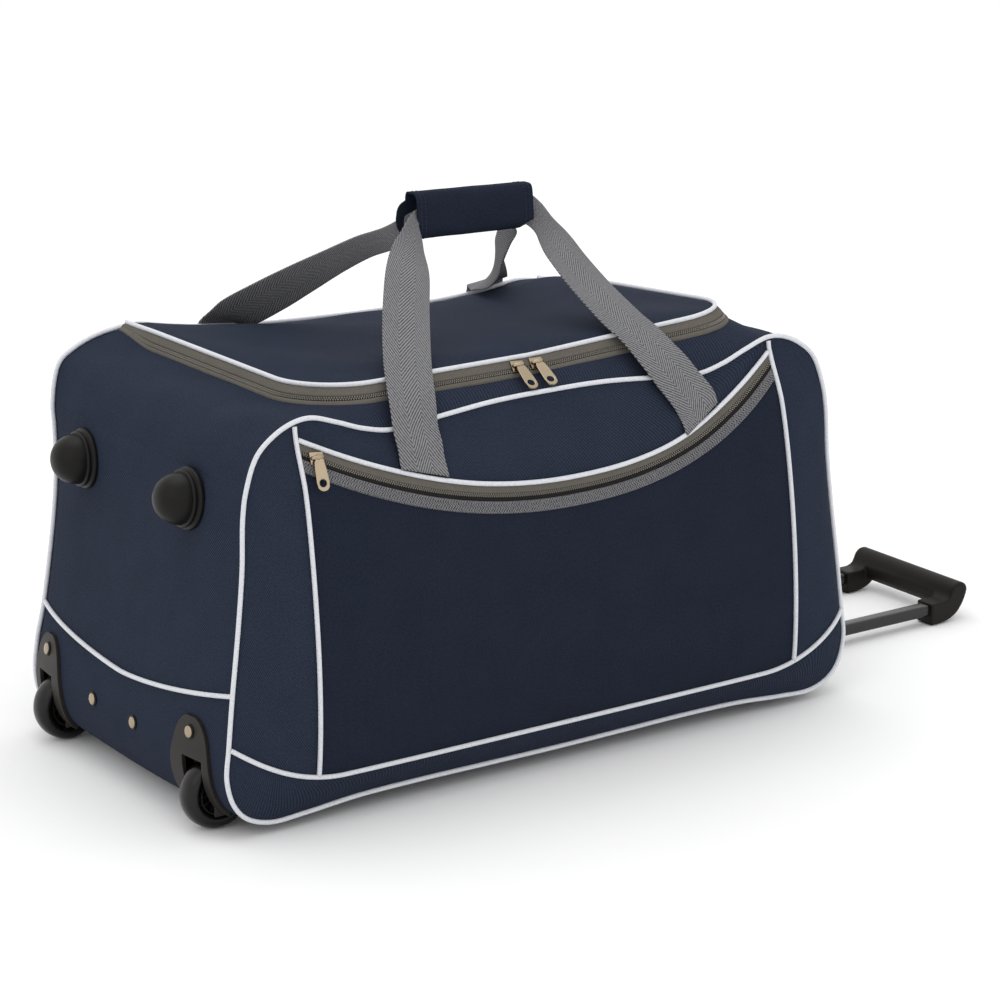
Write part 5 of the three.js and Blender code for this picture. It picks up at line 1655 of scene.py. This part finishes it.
BACK_STRAP: Rows = (
    (-130, 206.3, 315, 1, 0, 0, 46, 0),
    (-130, 202.8, 338, 1, 0, 0, 46, 0),
    (-130, 198, 356, 1, 0, 0, 46, 0),
    (-127, 192, 371, 1, 0, -0.1, 46, 0),
    (-118, 175, 381, 0.8, 0, -0.58, 46, 0),
    (-101, 140, 402, 0.74, -0.1, -0.65, 43, 0),
    (-87, 100, 425, 0.72, -0.15, -0.68, 37, 0),
    (-74, 60, 447, 0.68, -0.18, -0.7, 30, 0),
    (-63, 22, 466, 0.6, -0.22, -0.75, 26, 0),
    (-53, -8, 478, 0.35, -0.25, -0.9, 23, 0),
    (-36, -23, 491, 0, -0.28, -1, 22, 0),
    (0, -25, 496, 0, -0.28, -1, 34, 0),
    (28, -25, 496, 0, -0.28, -1, 34, 0),
    (62, -24, 493.5, 0, -0.28, -1, 32, 0),
    (76, -18, 484, 0, -0.4, -0.9, 32, 0),
    (79, -4, 468, -0.15, -0.6, -0.77, 34, 0),
    (85, 14, 450, -0.25, -0.58, -0.75, 36, 0),
    (97, 38, 432, -0.25, -0.55, -0.75, 37, 0),
    (116, 74, 412, -0.5, -0.4, -0.7, 38, 0),
    (138, 114, 395, -0.85, -0.2, -0.4, 40, 0),
    (166, 160, 377, -1, 0, -0.2, 41, 0),
    (180, 187, 371.5, -1, 0, -0.12, 42, 0),
    (184, 198, 354, -1, 0, 0, 46, 0),
    (184, 202.8, 332, -1, 0, 0, 46, 0),
    (184, 206.3, 312, -1, 0, 0, 46, 0),
)


@dataclass
class CarryStrap:
    """One loop of webbing, sewn to the bag at both ends."""

    form: BagForm
    node: str
    rows: Rows
    depth: Depth
    stitch: StitchTool
    sewn_under: float = 346.0
    thick: float = 2.0
    proud: float = 3.9
    step: float = 3.0
    edge: float = 38.33
    sewn_length: float = 36.0
    stitch_half: float = 19.0
    stitch_lift: float = 0.1

    def rested(self, rows: Array) -> Array:
        """Keeps the strap's sewn ends clear of the panel under their whole width."""
        place = self.form.front if self.depth is Depth.FRONT else self.form.back
        out = self.depth.value
        shifts = (-WEB_WIDTH / 2, 0.0, WEB_WIDTH / 2)
        edges = [out * place(rows[:, 0] + shift, rows[:, 2])[:, 1] for shift in shifts]
        clear = np.max(edges, axis=0) + self.proud
        sewn = rows[:, 2] < self.sewn_under
        rows[sewn, 1] = out * np.maximum(out * rows[sewn, 1], clear[sewn])
        return rows

    def frames(self) -> tuple[Array, Array, Array, Array]:
        """Gives the middle line's stations with their directions.

        Returns:
            The stations, and the directions along, across and out of the strap.
        """
        track = Track(self.rows, measured=3)
        stops = np.linspace(0.0, track.count - 1, 60 * track.count)
        along = run_lengths(track.at(stops)[:, :3])
        wanted = np.linspace(0.0, along[-1], int(along[-1] / self.step))
        rows = self.rested(track.at(np.interp(wanted, along, stops)))
        way = unit(np.gradient(rows[:, :3], axis=0))
        wide = rows[:, 3:6]
        wide = unit(wide - way * (wide * way).sum(axis=1, keepdims=True))
        return rows, way, wide, np.cross(wide, way)

    def section(self) -> Array:
        """Gives the strap's cross section: side from -1 to 1, then reach past it and lift."""
        half = self.thick / 2
        sides = np.linspace(-1.0, 1.0, 11)
        over = [(side, 0.0, half) for side in sides]
        under = [(side, 0.0, -half) for side in sides[::-1]]
        bend = [math.radians(angle) for angle in (60, 20, -20, -60)]
        right = [(1.0, half * math.cos(angle), half * math.sin(angle)) for angle in bend]
        left = [(-1.0, -half * math.cos(angle), half * math.sin(angle)) for angle in bend[::-1]]
        return np.array(over + right + under + left)

    def build(self) -> None:
        """Weaves the strap and sews its ends."""
        rows, way, wide, face = self.frames()
        section = self.section()
        half = rows[:, 6] / 2 - self.thick / 2
        reach = half[:, None] * section[None, :, 0] + section[None, :, 1]
        lead = section[None, :, 0] * rows[:, 7][:, None] / 2
        points = rows[:, None, :3] + wide[:, None] * reach[..., None]
        points = points + face[:, None] * section[None, :, 2, None] + way[:, None] * lead[..., None]
        skin = Skin.of_grid(points, closed_rows=True)
        along = run_lengths(rows[:, :3])[:, None]
        scale = (WEB_WIDTH / rows[:, 6])[:, None]
        skin.cloth = stacked(reach * scale + self.edge, along + lead).reshape(-1, 2)
        count = len(section)
        skin.faces.append(tuple(range(count)))
        skin.faces.append(tuple(range(len(skin.points) - count, len(skin.points))))
        settle(raised(f"{self.node}_webbing", skin), STRAP, (self.node,))
        self.sew(rows, wide, face)

    def sew(self, rows: Array, wide: Array, face: Array) -> None:
        """Sews a box of stitches through each end of the strap."""
        outward = np.sign(face[:, 1:2]) * self.depth.value
        lines = []
        count = int(self.sewn_length / self.step)
        for spots in (range(2, count), range(len(rows) - 3, len(rows) - count - 1, -1)):
            picked = list(spots)
            lift = face[picked] * outward[picked] * (self.thick / 2 + self.stitch_lift)
            for side in (-1.0, 1.0):
                lines.append(rows[picked, :3] + wide[picked] * side * self.stitch_half + lift)
            edge = picked[-1]
            share = np.linspace(-self.stitch_half, self.stitch_half, 20)[:, None]
            lines.append(rows[edge, :3] + wide[edge] * share + lift[-1])
        self.stitch.sew(f"{self.node}_stitches", lines, GREY_THREAD)


@dataclass
class GripWrap:
    """The cloth folded round both straps, with double stitching at its ends."""

    stitch: StitchTool
    from_x: float = -41.0
    to_x: float = 88.0
    middle_y: float = -28.0
    middle_z: float = 501.0
    height: float = 43.0
    depth: float = 22.0
    lean: float = 0.05
    tilt: float = 5.5
    taper: float = 0.06
    tail: float = 11.0
    tail_low: float = 5.0
    tail_half: float = 16.5
    back_cut: float = 12.0
    corner: float = 0.3
    wall: float = 1.7
    ripple: float = 0.7
    roll: tuple[float, float] = (-0.62, 1.52)
    lap_from: float = 1.3
    lap_gain: float = 2.6
    lap_rise: float = 0.4
    corner_from: float = 0.88
    square: float = 0.5
    points: tuple[int, int] = (60, 110)
    stitch_rows: tuple[int, ...] = (2, 4, 55, 57)
    stitch_lift: float = 0.2

    def grid(self) -> Array:
        """Gives the rolled sheet: round both straps, with its edge lapped underneath."""
        along, around = self.points
        start, end = self.roll
        angle = np.linspace(start * math.pi, end * math.pi, around)[None]
        share = np.linspace(0.0, 1.0, along)[:, None]
        lap = np.maximum(0.0, angle - self.lap_from * math.pi) * self.lap_gain
        cosine = np.cos(angle)
        sine = np.sin(angle)
        y = np.sign(cosine) * np.abs(cosine) ** self.square * (self.depth / 2 + lap)
        z = np.sign(sine) * np.abs(sine) ** self.square * (self.height / 2 + lap * self.lap_rise)
        cut = self.corner * eased((share - self.corner_from) / (1 - self.corner_from))
        z = np.where(z < 0, z * (1 - self.taper * share - cut), z)
        behind = eased((cosine - 0.1) / 0.6)
        bulge = np.sqrt(np.maximum(0.0, 1 - ((z + self.tail_low) / self.tail_half) ** 2))
        x = mix(self.from_x - self.tail * behind * bulge, self.to_x - self.back_cut * behind, share)
        ripple = 0.5 * np.sin(share * 21 + angle * 2) + 0.5 * np.sin(share * 11 - angle * 3)
        y = y + ripple * self.ripple
        return stacked(x, self.middle_y + y + self.lean * z, self.middle_z + z - self.tilt * share)

    def build(self) -> None:
        """Sews the wrap."""
        grid = self.grid()
        heart = np.array(((self.from_x + self.to_x) / 2, self.middle_y, self.middle_z))
        piece = raised("grip_wrap_cloth", Skin.of_grid(grid, heart=heart), recalculate=False)
        settle(walled(piece, self.wall), POCKET_NAVY, ("grip_wrap",))
        normals = grid_normals(grid, heart)
        lines = [grid[row] + normals[row] * self.stitch_lift for row in self.stitch_rows]
        self.stitch.sew("grip_wrap_stitches", lines, NAVY_THREAD)


@dataclass
class WheelSet:
    """The wheels, their axles, their housings and the rivets of the wheel end."""

    form: BagForm
    fins: FinTool
    x: float = -333.0
    radius: float = 33.0
    pin: tuple[float, float] = (2.9, 12.9)
    shield_y: tuple[float, float] = (-137.0, 146.0)
    shield_rivet_z: float = 92.0
    rivet_y: tuple[float, float] = (-32.0, 48.0)
    rivet_z: float = 71.0
    rivet_bed: float = 1.2
    shield_wall: float = 4.0
    shield_bed: float = 1.0
    shield_edge: float = 1.3
    slot_half: float = 15.0
    slot_top: float = 69.0
    slot_head: tuple[float, float] = (0.3, 0.7)
    slot_rows: int = 24
    slot_columns: int = 14
    edge_columns: int = 10
    well_x: tuple[float, float, float] = (-343.0, -296.5, -294.0)
    well_half: tuple[float, float] = (15.5, 18.0)
    well_z: tuple[float, float, float, float] = (16.0, 69.5, 71.5, 72.0)
    shield_rows: Rows = (
        (21, 30), (30, 31), (45, 31), (63, 30), (80, 26), (93.5, 21), (102, 14), (106, 7),
    )
    tyre_side: Rows = (
        (19.8, 9.4), (20.6, 10.6), (22.4, 11.7), (24.6, 12.2), (26.9, 12.0), (29.0, 10.9), (30.8, 9.0),
        (32.1, 6.4), (32.8, 3.3), (33.0, 0.0),
    )
    hub_side: Rows = (
        (19.7, 8.8), (19.0, 9.8), (17.8, 9.8), (17.2, 9.0), (17.0, 2.0), (7.6, 1.6), (7.4, 10.2), (6.8, 11.0),
        (4.2, 11.0), (3.4, 10.4),
    )
    washer: Rows = ((0.0, 0.2), (6.9, 0.2), (6.9, 1.3), (0.0, 1.5))
    head: Rows = ((0.0, 1.2), (5.5, 1.2), (5.5, 2.2), (4.2, 2.9), (0.0, 3.1))

    def wheel(self, depth: Depth) -> None:
        """Turns one wheel: tyre, finned hub and axle."""
        tag = depth.tag
        body = Body(f"wheel_{tag}")
        place = (self.x, depth.pick(WHEEL_Y), self.radius)
        axis = (0.0, -1.0, 0.0)
        tyre, hub = ([*side, *((radius, -height) for radius, height in below)] for side, below in (
            (self.tyre_side, self.tyre_side[-2::-1]), (self.hub_side, self.hub_side[::-1])))
        skin = turned(tyre, 72, ring=True).posed(place, axis)
        hard_piece(f"tyre_{tag}", skin, RUBBER, (f"wheel_tyre_{tag}",), body, 50.0)
        skin = turned(hub, 64, ring=True).posed(place, axis)
        hard_piece(f"hub_{tag}", skin, BLACK, (f"wheel_hub_{tag}",), body, 35.0)
        fins = self.fins.make(f"hub_fins_{tag}", [np.zeros((2, 3)) - BAG_MIDDLE], BLACK)
        fins.data.transform(Matrix.Translation(Vector(placed(place))) @ Matrix.Rotation(math.pi / 2, 4, "X"))
        settle(fins, BLACK, (), body)
        radius, half = self.pin
        pin = rounded(((0.0, half), (radius, half), (radius, -half), (0.0, -half)))
        hard_piece(f"axle_{tag}", turned(pin, 24).posed(place, axis), NICKEL, (f"wheel_axle_{tag}",))

    def shield_grid(self, depth: Depth) -> Array:
        """Gives the grid of one housing's plate, with columns that follow the wheel's slot."""
        table = np.array(self.shield_rows, float)
        foot = table[0, 0]
        head = table[-1, 0]
        lower = np.linspace(foot, self.slot_top, self.slot_rows)
        heights = np.concatenate([lower, np.linspace(self.slot_top, head, self.slot_rows)[1:]])
        rows = Track(table).at(np.linspace(0, len(table) - 1, 400))
        middle = depth.pick(self.shield_y)
        wheel = depth.pick(WHEEL_Y)
        points = []
        for z, half in zip(heights, np.interp(heights, rows[:, 0], rows[:, 1])):
            up = float(eased((z - self.slot_top) / (head - self.slot_top)))
            left = middle - half
            right = middle + half
            low, high = (
                mix(wheel + side * self.slot_half, mix(left, right, share), up)
                for side, share in zip((-1, 1), self.slot_head)
            )
            line = np.concatenate([
                np.linspace(left, low, self.edge_columns), np.linspace(low, high, self.slot_columns)[1:],
                np.linspace(high, right, self.edge_columns)[1:],
            ])
            found = [self.form.wheel_end(float(y), float(z)) for y in line]
            points.append([point + normal * self.shield_bed for point, normal in found])
        return np.array(points)

    def shield(self, depth: Depth) -> None:
        """Moulds the plate of one housing on the wheel end's cloth, open where the wheel stands."""
        grid = self.shield_grid(depth)
        skin = Skin.of_grid(grid)
        row, column = np.divmod(np.arange(len(skin.faces)), grid.shape[1] - 1)
        first = self.edge_columns - 1
        gone = (row < self.slot_rows - 1) & (column >= first) & (column < first + self.slot_columns - 1)
        plate = raised(f"wheel_shield_{depth.tag}", skin.without(gone), recalculate=False)
        walled(plate, self.shield_wall, outward=True)
        settle(bevelled(plate, self.shield_edge, 3, 50.0), SHIELD_GREY, (f"wheel_housing_{depth.tag}",))

    def well(self, depth: Depth) -> None:
        """Moulds the dark well that the wheel stands in: its back, its roof and its sides."""
        y = depth.pick(WHEEL_Y)
        inner, outer = self.well_half
        front, back, end = self.well_x
        foot, roof, head, top = self.well_z
        walls = (
            ((back, y - outer, foot), (end, y + outer, head)),
            ((front, y - outer, roof), (end, y + outer, top)),
            ((front, y - outer, foot), (end, y - inner, head)),
            ((front, y + inner, foot), (end, y + outer, head)),
        )
        skin = reduce(Skin.joined, (box_skin(low, high) for low, high in walls))
        piece = raised(f"wheel_well_{depth.tag}", skin, merge=0.001)
        settle(bevelled(piece, 0.5, 2), SHIELD_GREY)

    def rivet(self, name: str, y: float, z: float, base: float) -> None:
        """Sets one rivet: a nickel head on a dark washer."""
        point, normal = self.form.wheel_end(y, z)
        place = point + normal * base
        for part, profile, finish, nodes in (
            ("washer", self.washer, BLACK, ()), ("head", self.head, NICKEL, (name,)),
        ):
            hard_piece(f"{name}_{part}", turned(rounded(profile), 40).posed(place, normal), finish, nodes)

    def build(self) -> None:
        """Makes both sides and their rivets."""
        above = self.shield_wall + self.shield_bed - 0.2
        for depth in Depth:
            self.wheel(depth)
            self.shield(depth)
            self.well(depth)
            self.rivet(f"housing_rivet_{depth.tag}", depth.pick(self.shield_y), self.shield_rivet_z, above)
            self.rivet(f"end_rivet_{depth.tag}", depth.pick(self.rivet_y), self.rivet_z, self.rivet_bed)


def box_skin(low: Sequence[float], high: Sequence[float]) -> Skin:
    """Gives the six faces of a box between two corners."""
    pick = [(x, y, z) for x in (0, 1) for y in (0, 1) for z in (0, 1)]
    ends = np.array((low, high), float)
    points = np.array([[ends[part, axis] for axis, part in enumerate(spot)] for spot in pick])
    faces = [(0, 1, 3, 2), (4, 6, 7, 5), (0, 4, 5, 1), (2, 3, 7, 6), (0, 2, 6, 4), (1, 5, 7, 3)]
    return Skin(points, faces)


@dataclass
class Bumpers:
    """The two round bumpers that the bag stands on when it is upright."""

    form: BagForm
    y: tuple[float, float] = (-101.0, 108.0)
    z: tuple[float, float] = (294.0, 284.0)
    lift: float = 1.6
    foot: Rows = (
        (0.0, 0.0), (28.4, 0.0), (28.4, 3.6), (26.4, 5.0), (25.6, 5.2), (25.6, 6.2), (26.2, 7.0), (26.2, 8.8),
        (24.6, 9.8), (23.6, 9.9),
    )
    dome_radius: float = 23.6
    dome_z: float = 10.2
    dome_powers: tuple[float, float] = (0.85, 1.1)

    def build(self) -> None:
        """Turns both bumpers."""
        size = self.dome_radius
        wide, high = self.dome_powers
        angles = np.linspace(0.0, math.pi / 2, 14)[:-1]
        profile = list(rounded(self.foot))
        for turn in angles:
            profile.append((size * math.cos(turn) ** wide, self.dome_z + size * math.sin(turn) ** high))
        profile.append((0.0, self.dome_z + size))
        for depth in Depth:
            point, normal = self.form.wheel_end(depth.pick(self.y), depth.pick(self.z))
            skin = turned(profile, 64).posed(point + normal * self.lift, normal)
            hard_piece(f"bumper_{depth.tag}_moulding", skin, BLACK, (f"bumper_{depth.tag}",), sharp=30.0)


@dataclass
class Feet:
    """The two hidden feet under the base."""

    x: float = 250.0
    y: float = 100.0
    profile: Rows = ((0.0, 0.0), (13.0, 0.0), (15.0, 1.8), (15.0, 5.2), (0.0, 5.2))

    def build(self) -> None:
        """Turns both feet."""
        for depth in Depth:
            place = (self.x, depth.value * self.y, 0.0)
            skin = turned(rounded(self.profile), 48).posed(place, (0.0, 0.0, 1.0))
            hard_piece(f"foot_{depth.tag}_moulding", skin, BLACK, (f"foot_{depth.tag}",))


@dataclass
class Trolley:
    """The pull-out handle: two tubes in their guides and a moulded grip."""

    tube_x: tuple[float, float] = (10.0, 573.0)
    tube_size: tuple[float, float, float] = (16.0, 12.0, 1.2)
    guide_x: tuple[float, float] = (-195.0, 351.0)
    guide_size: tuple[float, float, float] = (19.0, 15.0, 1.0)
    corner: float = 3.2
    rim: float = 0.3
    grip_inner: float = 57.0
    grip_outer: float = 81.0
    grip_from: float = 553.0
    arm_z: tuple[float, float] = (1.0, 24.0)
    bar_from: tuple[float, float] = (577.5, 13.0)
    voxel: float = 1.15
    bar_under: Rows = ((577.5, 17.5), (582.0, 11.5))
    side: Rows = (
        (565, 1, 560, 1), (592, 13.8, 584, 2.8), (600.5, 30.8, 598, 21.8), (592, 41.3, 601.5, 39.8),
        (580, 32.8, 583, 40.8), (570, 24, 578, 25),
    )

    def ring(self, width: float, height: float, radius: float) -> Array:
        """Gives a rectangle with rounded corners, as y and z."""
        points = []
        for turn, (sy, sz) in enumerate(((1, 1), (-1, 1), (-1, -1), (1, -1))):
            for angle in np.linspace(0.0, math.pi / 2, 6) + turn * math.pi / 2:
                points.append((sy * (width / 2 - radius) + radius * math.cos(angle),
                               sz * (height / 2 - radius) + radius * math.sin(angle)))
        return np.array(points)

    def pipe(self, reach: tuple[float, float], size: tuple[float, float, float], y: float) -> Skin:
        """Gives a flat tube with rounded corners along x.

        Args:
            reach: Its first and last x.
            size: Its outer width, its outer height and its wall.
            y: The depth of its middle.

        Returns:
            The tube's closed surface.
        """
        start, end = reach
        width, height, wall = size
        outer = self.ring(width, height, self.corner)
        inner = self.ring(width - 2 * wall, height - 2 * wall, self.corner - wall)
        rounds = [
            (outer, start), (outer, end - self.rim),
            *((mix(outer, inner, share), end) for share in (0.3, 0.7)),
            (inner, end - self.rim), (inner, start), (outer, start),
        ]
        grid = np.stack([stacked(np.array(x), y + ring[:, 0], TROLLEY_Z + ring[:, 1]) for ring, x in rounds])
        return Skin.of_grid(grid, closed_rows=True)

    def outline(self) -> Array:
        """Gives the side view of the grip's arm, as x and z."""
        foot, head = (np.array((self.grip_from, z)) for z in self.arm_z)
        points = [foot]
        for row in np.array(self.side, float):
            start = points[-1]
            stop, bend = row[:2], row[2:]
            for share in np.linspace(0.0, 1.0, 9)[1:]:
                points.append(mix(mix(start, bend, share), mix(bend, stop, share), share))
        return np.array([*points, head])

    def slab(self, outline: Array, first: float, last: float) -> Skin:
        """Gives a closed slab with one side view between two depths."""
        rounds = [stacked(outline[:, 0], np.array(y), outline[:, 1]) for y in (first, last)]
        skin = Skin.of_grid(np.stack(rounds), closed_rows=True)
        count = len(outline)
        skin.faces += [tuple(range(count)), tuple(range(count, 2 * count))]
        skin.cloth = None
        return skin

    def grip(self) -> bpy.types.Object:
        """Moulds the grip in one: two arms and the bar between them."""
        outline = self.outline()
        upper = outline[(outline > self.bar_from).all(axis=1)]
        skin = self.slab(np.concatenate([upper, self.bar_under]), -self.grip_outer, self.grip_outer)
        for sign in (-1.0, 1.0):
            skin = skin.joined(self.slab(outline, sign * self.grip_inner, sign * self.grip_outer))
        piece = raised("trolley_grip_moulding", skin, merge=0.0001)
        melt = piece.modifiers.new("melt", "REMESH")
        melt.mode = "VOXEL"
        melt.voxel_size = self.voxel * MM
        soft = piece.modifiers.new("soft", "SMOOTH")
        soft.factor = 0.5
        soft.iterations = 8
        return realised(piece, 80.0)

    def build(self) -> None:
        """Makes the tubes, the guides and the grip."""
        pipes = (
            ("tube", self.tube_x, self.tube_size, Body.TROLLEY),
            ("guide", self.guide_x, self.guide_size, Body.BAG),
        )
        for depth in Depth:
            for part, reach, size, body in pipes:
                skin = self.pipe(reach, size, depth.value * TROLLEY_Y)
                hard_piece(f"{part}_{depth.tag}", skin, TUBE_GREY, (f"trolley_{part}_{depth.tag}",), body)
        settle(self.grip(), GRIP_BLACK, ("trolley_grip",), Body.TROLLEY)


@dataclass
class ZipPull:
    """One zip slider with its swinging tab."""

    name: str
    body: Body
    base: tuple[float, float, float]
    pin: tuple[float, float, float]
    out: tuple[float, float, float]
    along: tuple[float, float, float]
    lean: float = 0.34
    thick: float = 1.5
    plate: tuple[float, float, float, float] = (6.5, 5.5, 0.5, 3.2)
    waist: float = 0.8
    arch: tuple[float, float, float] = (5.4, 3.0, 4.2)
    wire: float = 1.1
    wire_wide: float = 1.6
    tab_rows: Rows = ((1.0, 3.2), (3.5, 4.6), (9.0, 5.4), (22.0, 6.1), (26.8, 5.4), (29.2, 3.4), (30.0, 0.9))
    hole_y: float = 23.0
    hole_radius: float = 4.1
    rim: tuple[float, float] = (4.2, 0.8)
    eye: tuple[float, float] = (1.9, 0.75)
    eye_wide: float = 1.7

    def axes(self) -> tuple[Array, Array, Array]:
        """Gives the directions along the zip, down the tab and out of the zip."""
        along = unit(np.array(self.along))
        out = unit(np.array(self.out))
        return along, np.cross(along, out), out

    def laid(self, skin: Skin, origin: Sequence[float], lean: float = 0.0) -> Skin:
        """Moves a surface made along, down and out into place, with its foot leaning out."""
        along, down, out = self.axes()
        leant = down * math.cos(lean) + out * math.sin(lean)
        turn = np.stack([along, leant, np.cross(along, leant) * -1.0])
        return Skin(skin.points @ turn + np.array(origin), skin.faces)

    def slider(self) -> None:
        """Makes the slider's body: a waisted plate with a bridge over it."""
        long, wide, foot, head = self.plate
        plate = box_skin((-long, -wide, foot), (long, wide, head))
        plate.points[plate.points[:, 0] > 0, 1] *= self.waist
        reach, base, rise = self.arch
        angles = np.linspace(0.0, math.pi, 17)
        arch = stacked(reach * np.cos(angles), np.array(0.0), base + rise * np.sin(angles) ** 0.7)
        bridge = tube(arch, self.wire, 10)
        bridge.points[:, 1] *= self.wire_wide
        piece = raised(f"{self.name}_slider_body", self.laid(plate.joined(bridge), self.base), merge=0.001)
        settle(bevelled(piece, 0.7, 3), NICKEL, (f"{self.name}_slider",))

    def tab_skin(self) -> Skin:
        """Gives the tab's flat plate, with a round hole at its foot."""
        rows = np.array(self.tab_rows)
        start, length = rows[(0, -1), 0]
        down = np.linspace(0.0, 1.0, 40)[:, None]
        half = np.interp(down * length, rows[:, 0], rows[:, 1])
        side = np.linspace(-1.0, 1.0, 15)[None]
        skin = Skin.of_grid(stacked(side * half, start + down * (length - start), np.array(0.0)))
        middle = skin.face_middles()
        return skin.without(np.hypot(middle[:, 0], middle[:, 1] - self.hole_y) < self.hole_radius)

    def tab(self) -> None:
        """Makes the tab: a flat plate with a narrow neck, a loop at the pin and a rim round its hole."""
        plate = raised(f"{self.name}_tab_plate", self.laid(self.tab_skin(), self.pin, self.lean))
        solid = plate.modifiers.new("wall", "SOLIDIFY")
        solid.thickness = self.thick * MM
        solid.offset = 0.0
        settle(bevelled(plate, 0.35, 2), NICKEL, (f"{self.name}_pull",), self.body)
        angles = np.linspace(0.0, 2 * math.pi, 28, endpoint=False)
        radius, wire = self.eye
        ring = stacked(np.array(0.0), radius * np.cos(angles), radius * np.sin(angles))
        loop = tube(ring, wire, 10, closed=True)
        loop.points[:, 0] *= self.eye_wide
        hard_piece(f"{self.name}_tab_eye", self.laid(loop, self.pin), NICKEL, body=self.body)
        radius, wire = self.rim
        ring = stacked(radius * np.cos(angles), self.hole_y + radius * np.sin(angles), np.array(0.0))
        edge = tube(ring, wire, 10, closed=True)
        hard_piece(f"{self.name}_tab_rim", self.laid(edge, self.pin, self.lean), NICKEL, body=self.body)

    def build(self) -> None:
        """Makes the slider and its tab."""
        self.slider()
        self.tab()


ZIP_PULLS = (
    ZipPull("main_left", Body.MAIN_LEFT_TAB, (-16.757, -162.407, 379.291), (-16.757, -167.045, 382.604),
            (0.0, -0.81373, 0.58124), (1.0, 0.0, 0.0)),
    ZipPull("main_right", Body.MAIN_RIGHT_TAB, (3.928, -162.407, 379.489), (3.756, -167.041, 382.803),
            (-0.03017, -0.81313, 0.5813), (0.99866, 0.0, 0.05182)),
    ZipPull("pocket", Body.POCKET_TAB, (-251.025, -197.377, 339.816), (-251.313, -202.703, 341.824),
            (-0.05055, -0.93452, 0.35229), (0.99854, -0.05401, 0.0), 0.0),
)


@dataclass
class Studio:
    """The pale floor, the soft light and the camera."""

    target: tuple[float, float, float] = (-0.05785, -0.0123, 0.2071)
    azimuth: float = -33.4
    elevation: float = 16.0
    roll: float = -0.9
    distance: float = 3.3962
    focal: float = 3.5172
    sensor: float = 36.0
    world: float = 1.08
    floor_half: float = 14.0
    lamps: tuple[tuple[str, tuple[float, float, float], float, float], ...] = (
        ("left_softbox", (-2.6, -1.4, 2.2), 5.0, 1.8),
        ("front_softbox", (0.6, -3.2, 1.8), 4.0, 1.8),
        ("top_softbox", (-0.2, 0.4, 3.2), 20.0, 2.2),
    )

    def floor(self) -> None:
        """Lays the floor."""
        mesh = bpy.data.meshes.new("studio_floor")
        half = self.floor_half
        corners = [(-half, -half, 0), (half, -half, 0), (half, half, 0), (-half, half, 0)]
        mesh.from_pydata(corners, [], [(0, 1, 2, 3)])
        floor = bpy.data.objects.new("studio_floor", mesh)
        bpy.context.scene.collection.objects.link(floor)
        bench = NodeBench("pale_floor")
        spots = bench.noise(bench.own_place(), 3.0)
        shade = bench.blend(spots, (0.9, 0.9, 0.9, 1.0), (0.94, 0.94, 0.94, 1.0))
        bench.set(Base_Color=shade, Roughness=0.9, Specular_IOR_Level=0.1)
        mesh.materials.append(bench.material)

    def light(self) -> None:
        """Hangs the softboxes and whitens the room."""
        world = bpy.data.worlds.new("pale_room")
        world.use_nodes = True
        back = world.node_tree.nodes["Background"]
        back.inputs["Color"].default_value = (1.0, 1.0, 1.0, 1.0)
        back.inputs["Strength"].default_value = self.world
        bpy.context.scene.world = world
        for name, place, power, size in self.lamps:
            lamp = bpy.data.lights.new(name, "AREA")
            lamp.energy = power
            lamp.size = size
            box = bpy.data.objects.new(name, lamp)
            box.location = place
            way = Vector(self.target) - Vector(place)
            box.rotation_euler = way.to_track_quat("-Z", "Y").to_euler()
            bpy.context.scene.collection.objects.link(box)

    def camera(self) -> None:
        """Sets the camera at the photograph's angle."""
        turn = math.radians(self.azimuth)
        rise = math.radians(self.elevation)
        tilt = math.radians(self.roll)
        back = Vector((math.sin(turn) * math.cos(rise), -math.cos(turn) * math.cos(rise), math.sin(rise)))
        level = Vector((math.cos(turn), math.sin(turn), 0.0))
        above = back.cross(level)
        right = level * math.cos(tilt) + above * math.sin(tilt)
        up = above * math.cos(tilt) - level * math.sin(tilt)
        lens = bpy.data.cameras.new("photo_camera")
        lens.sensor_fit = "HORIZONTAL"
        lens.sensor_width = self.sensor
        lens.lens = self.sensor * self.focal
        lens.clip_end = 50.0
        camera = bpy.data.objects.new("photo_camera", lens)
        place = Matrix((right, up, back)).transposed().to_4x4()
        place.translation = Vector(self.target) + back * self.distance
        camera.matrix_world = place
        bpy.context.scene.collection.objects.link(camera)
        bpy.context.scene.camera = camera

    def build(self) -> None:
        """Sets up the whole studio."""
        bpy.context.scene.view_settings.view_transform = "Standard"
        self.floor()
        self.light()
        self.camera()


def main() -> None:
    """Builds the bag piece by piece and sets up its studio."""
    logging.basicConfig(level=logging.INFO, format="%(name)s %(message)s")
    Studio().build()
    form = BagForm()
    stitch = StitchTool()
    FrontPanels(form).build()
    BodyPanels(form).build()
    Lid(form).build()
    Piping(form).build()
    Zips(form, CoilTool(), stitch).build()
    CarryStrap(form, "front_strap", FRONT_STRAP, Depth.FRONT, stitch).build()
    CarryStrap(form, "back_strap", BACK_STRAP, Depth.BACK, stitch).build()
    GripWrap(stitch).build()
    WheelSet(form, FinTool()).build()
    Bumpers(form).build()
    Feet().build()
    Trolley().build()
    for pull in ZIP_PULLS:
        pull.build()


if __name__ == "__main__":
    main()
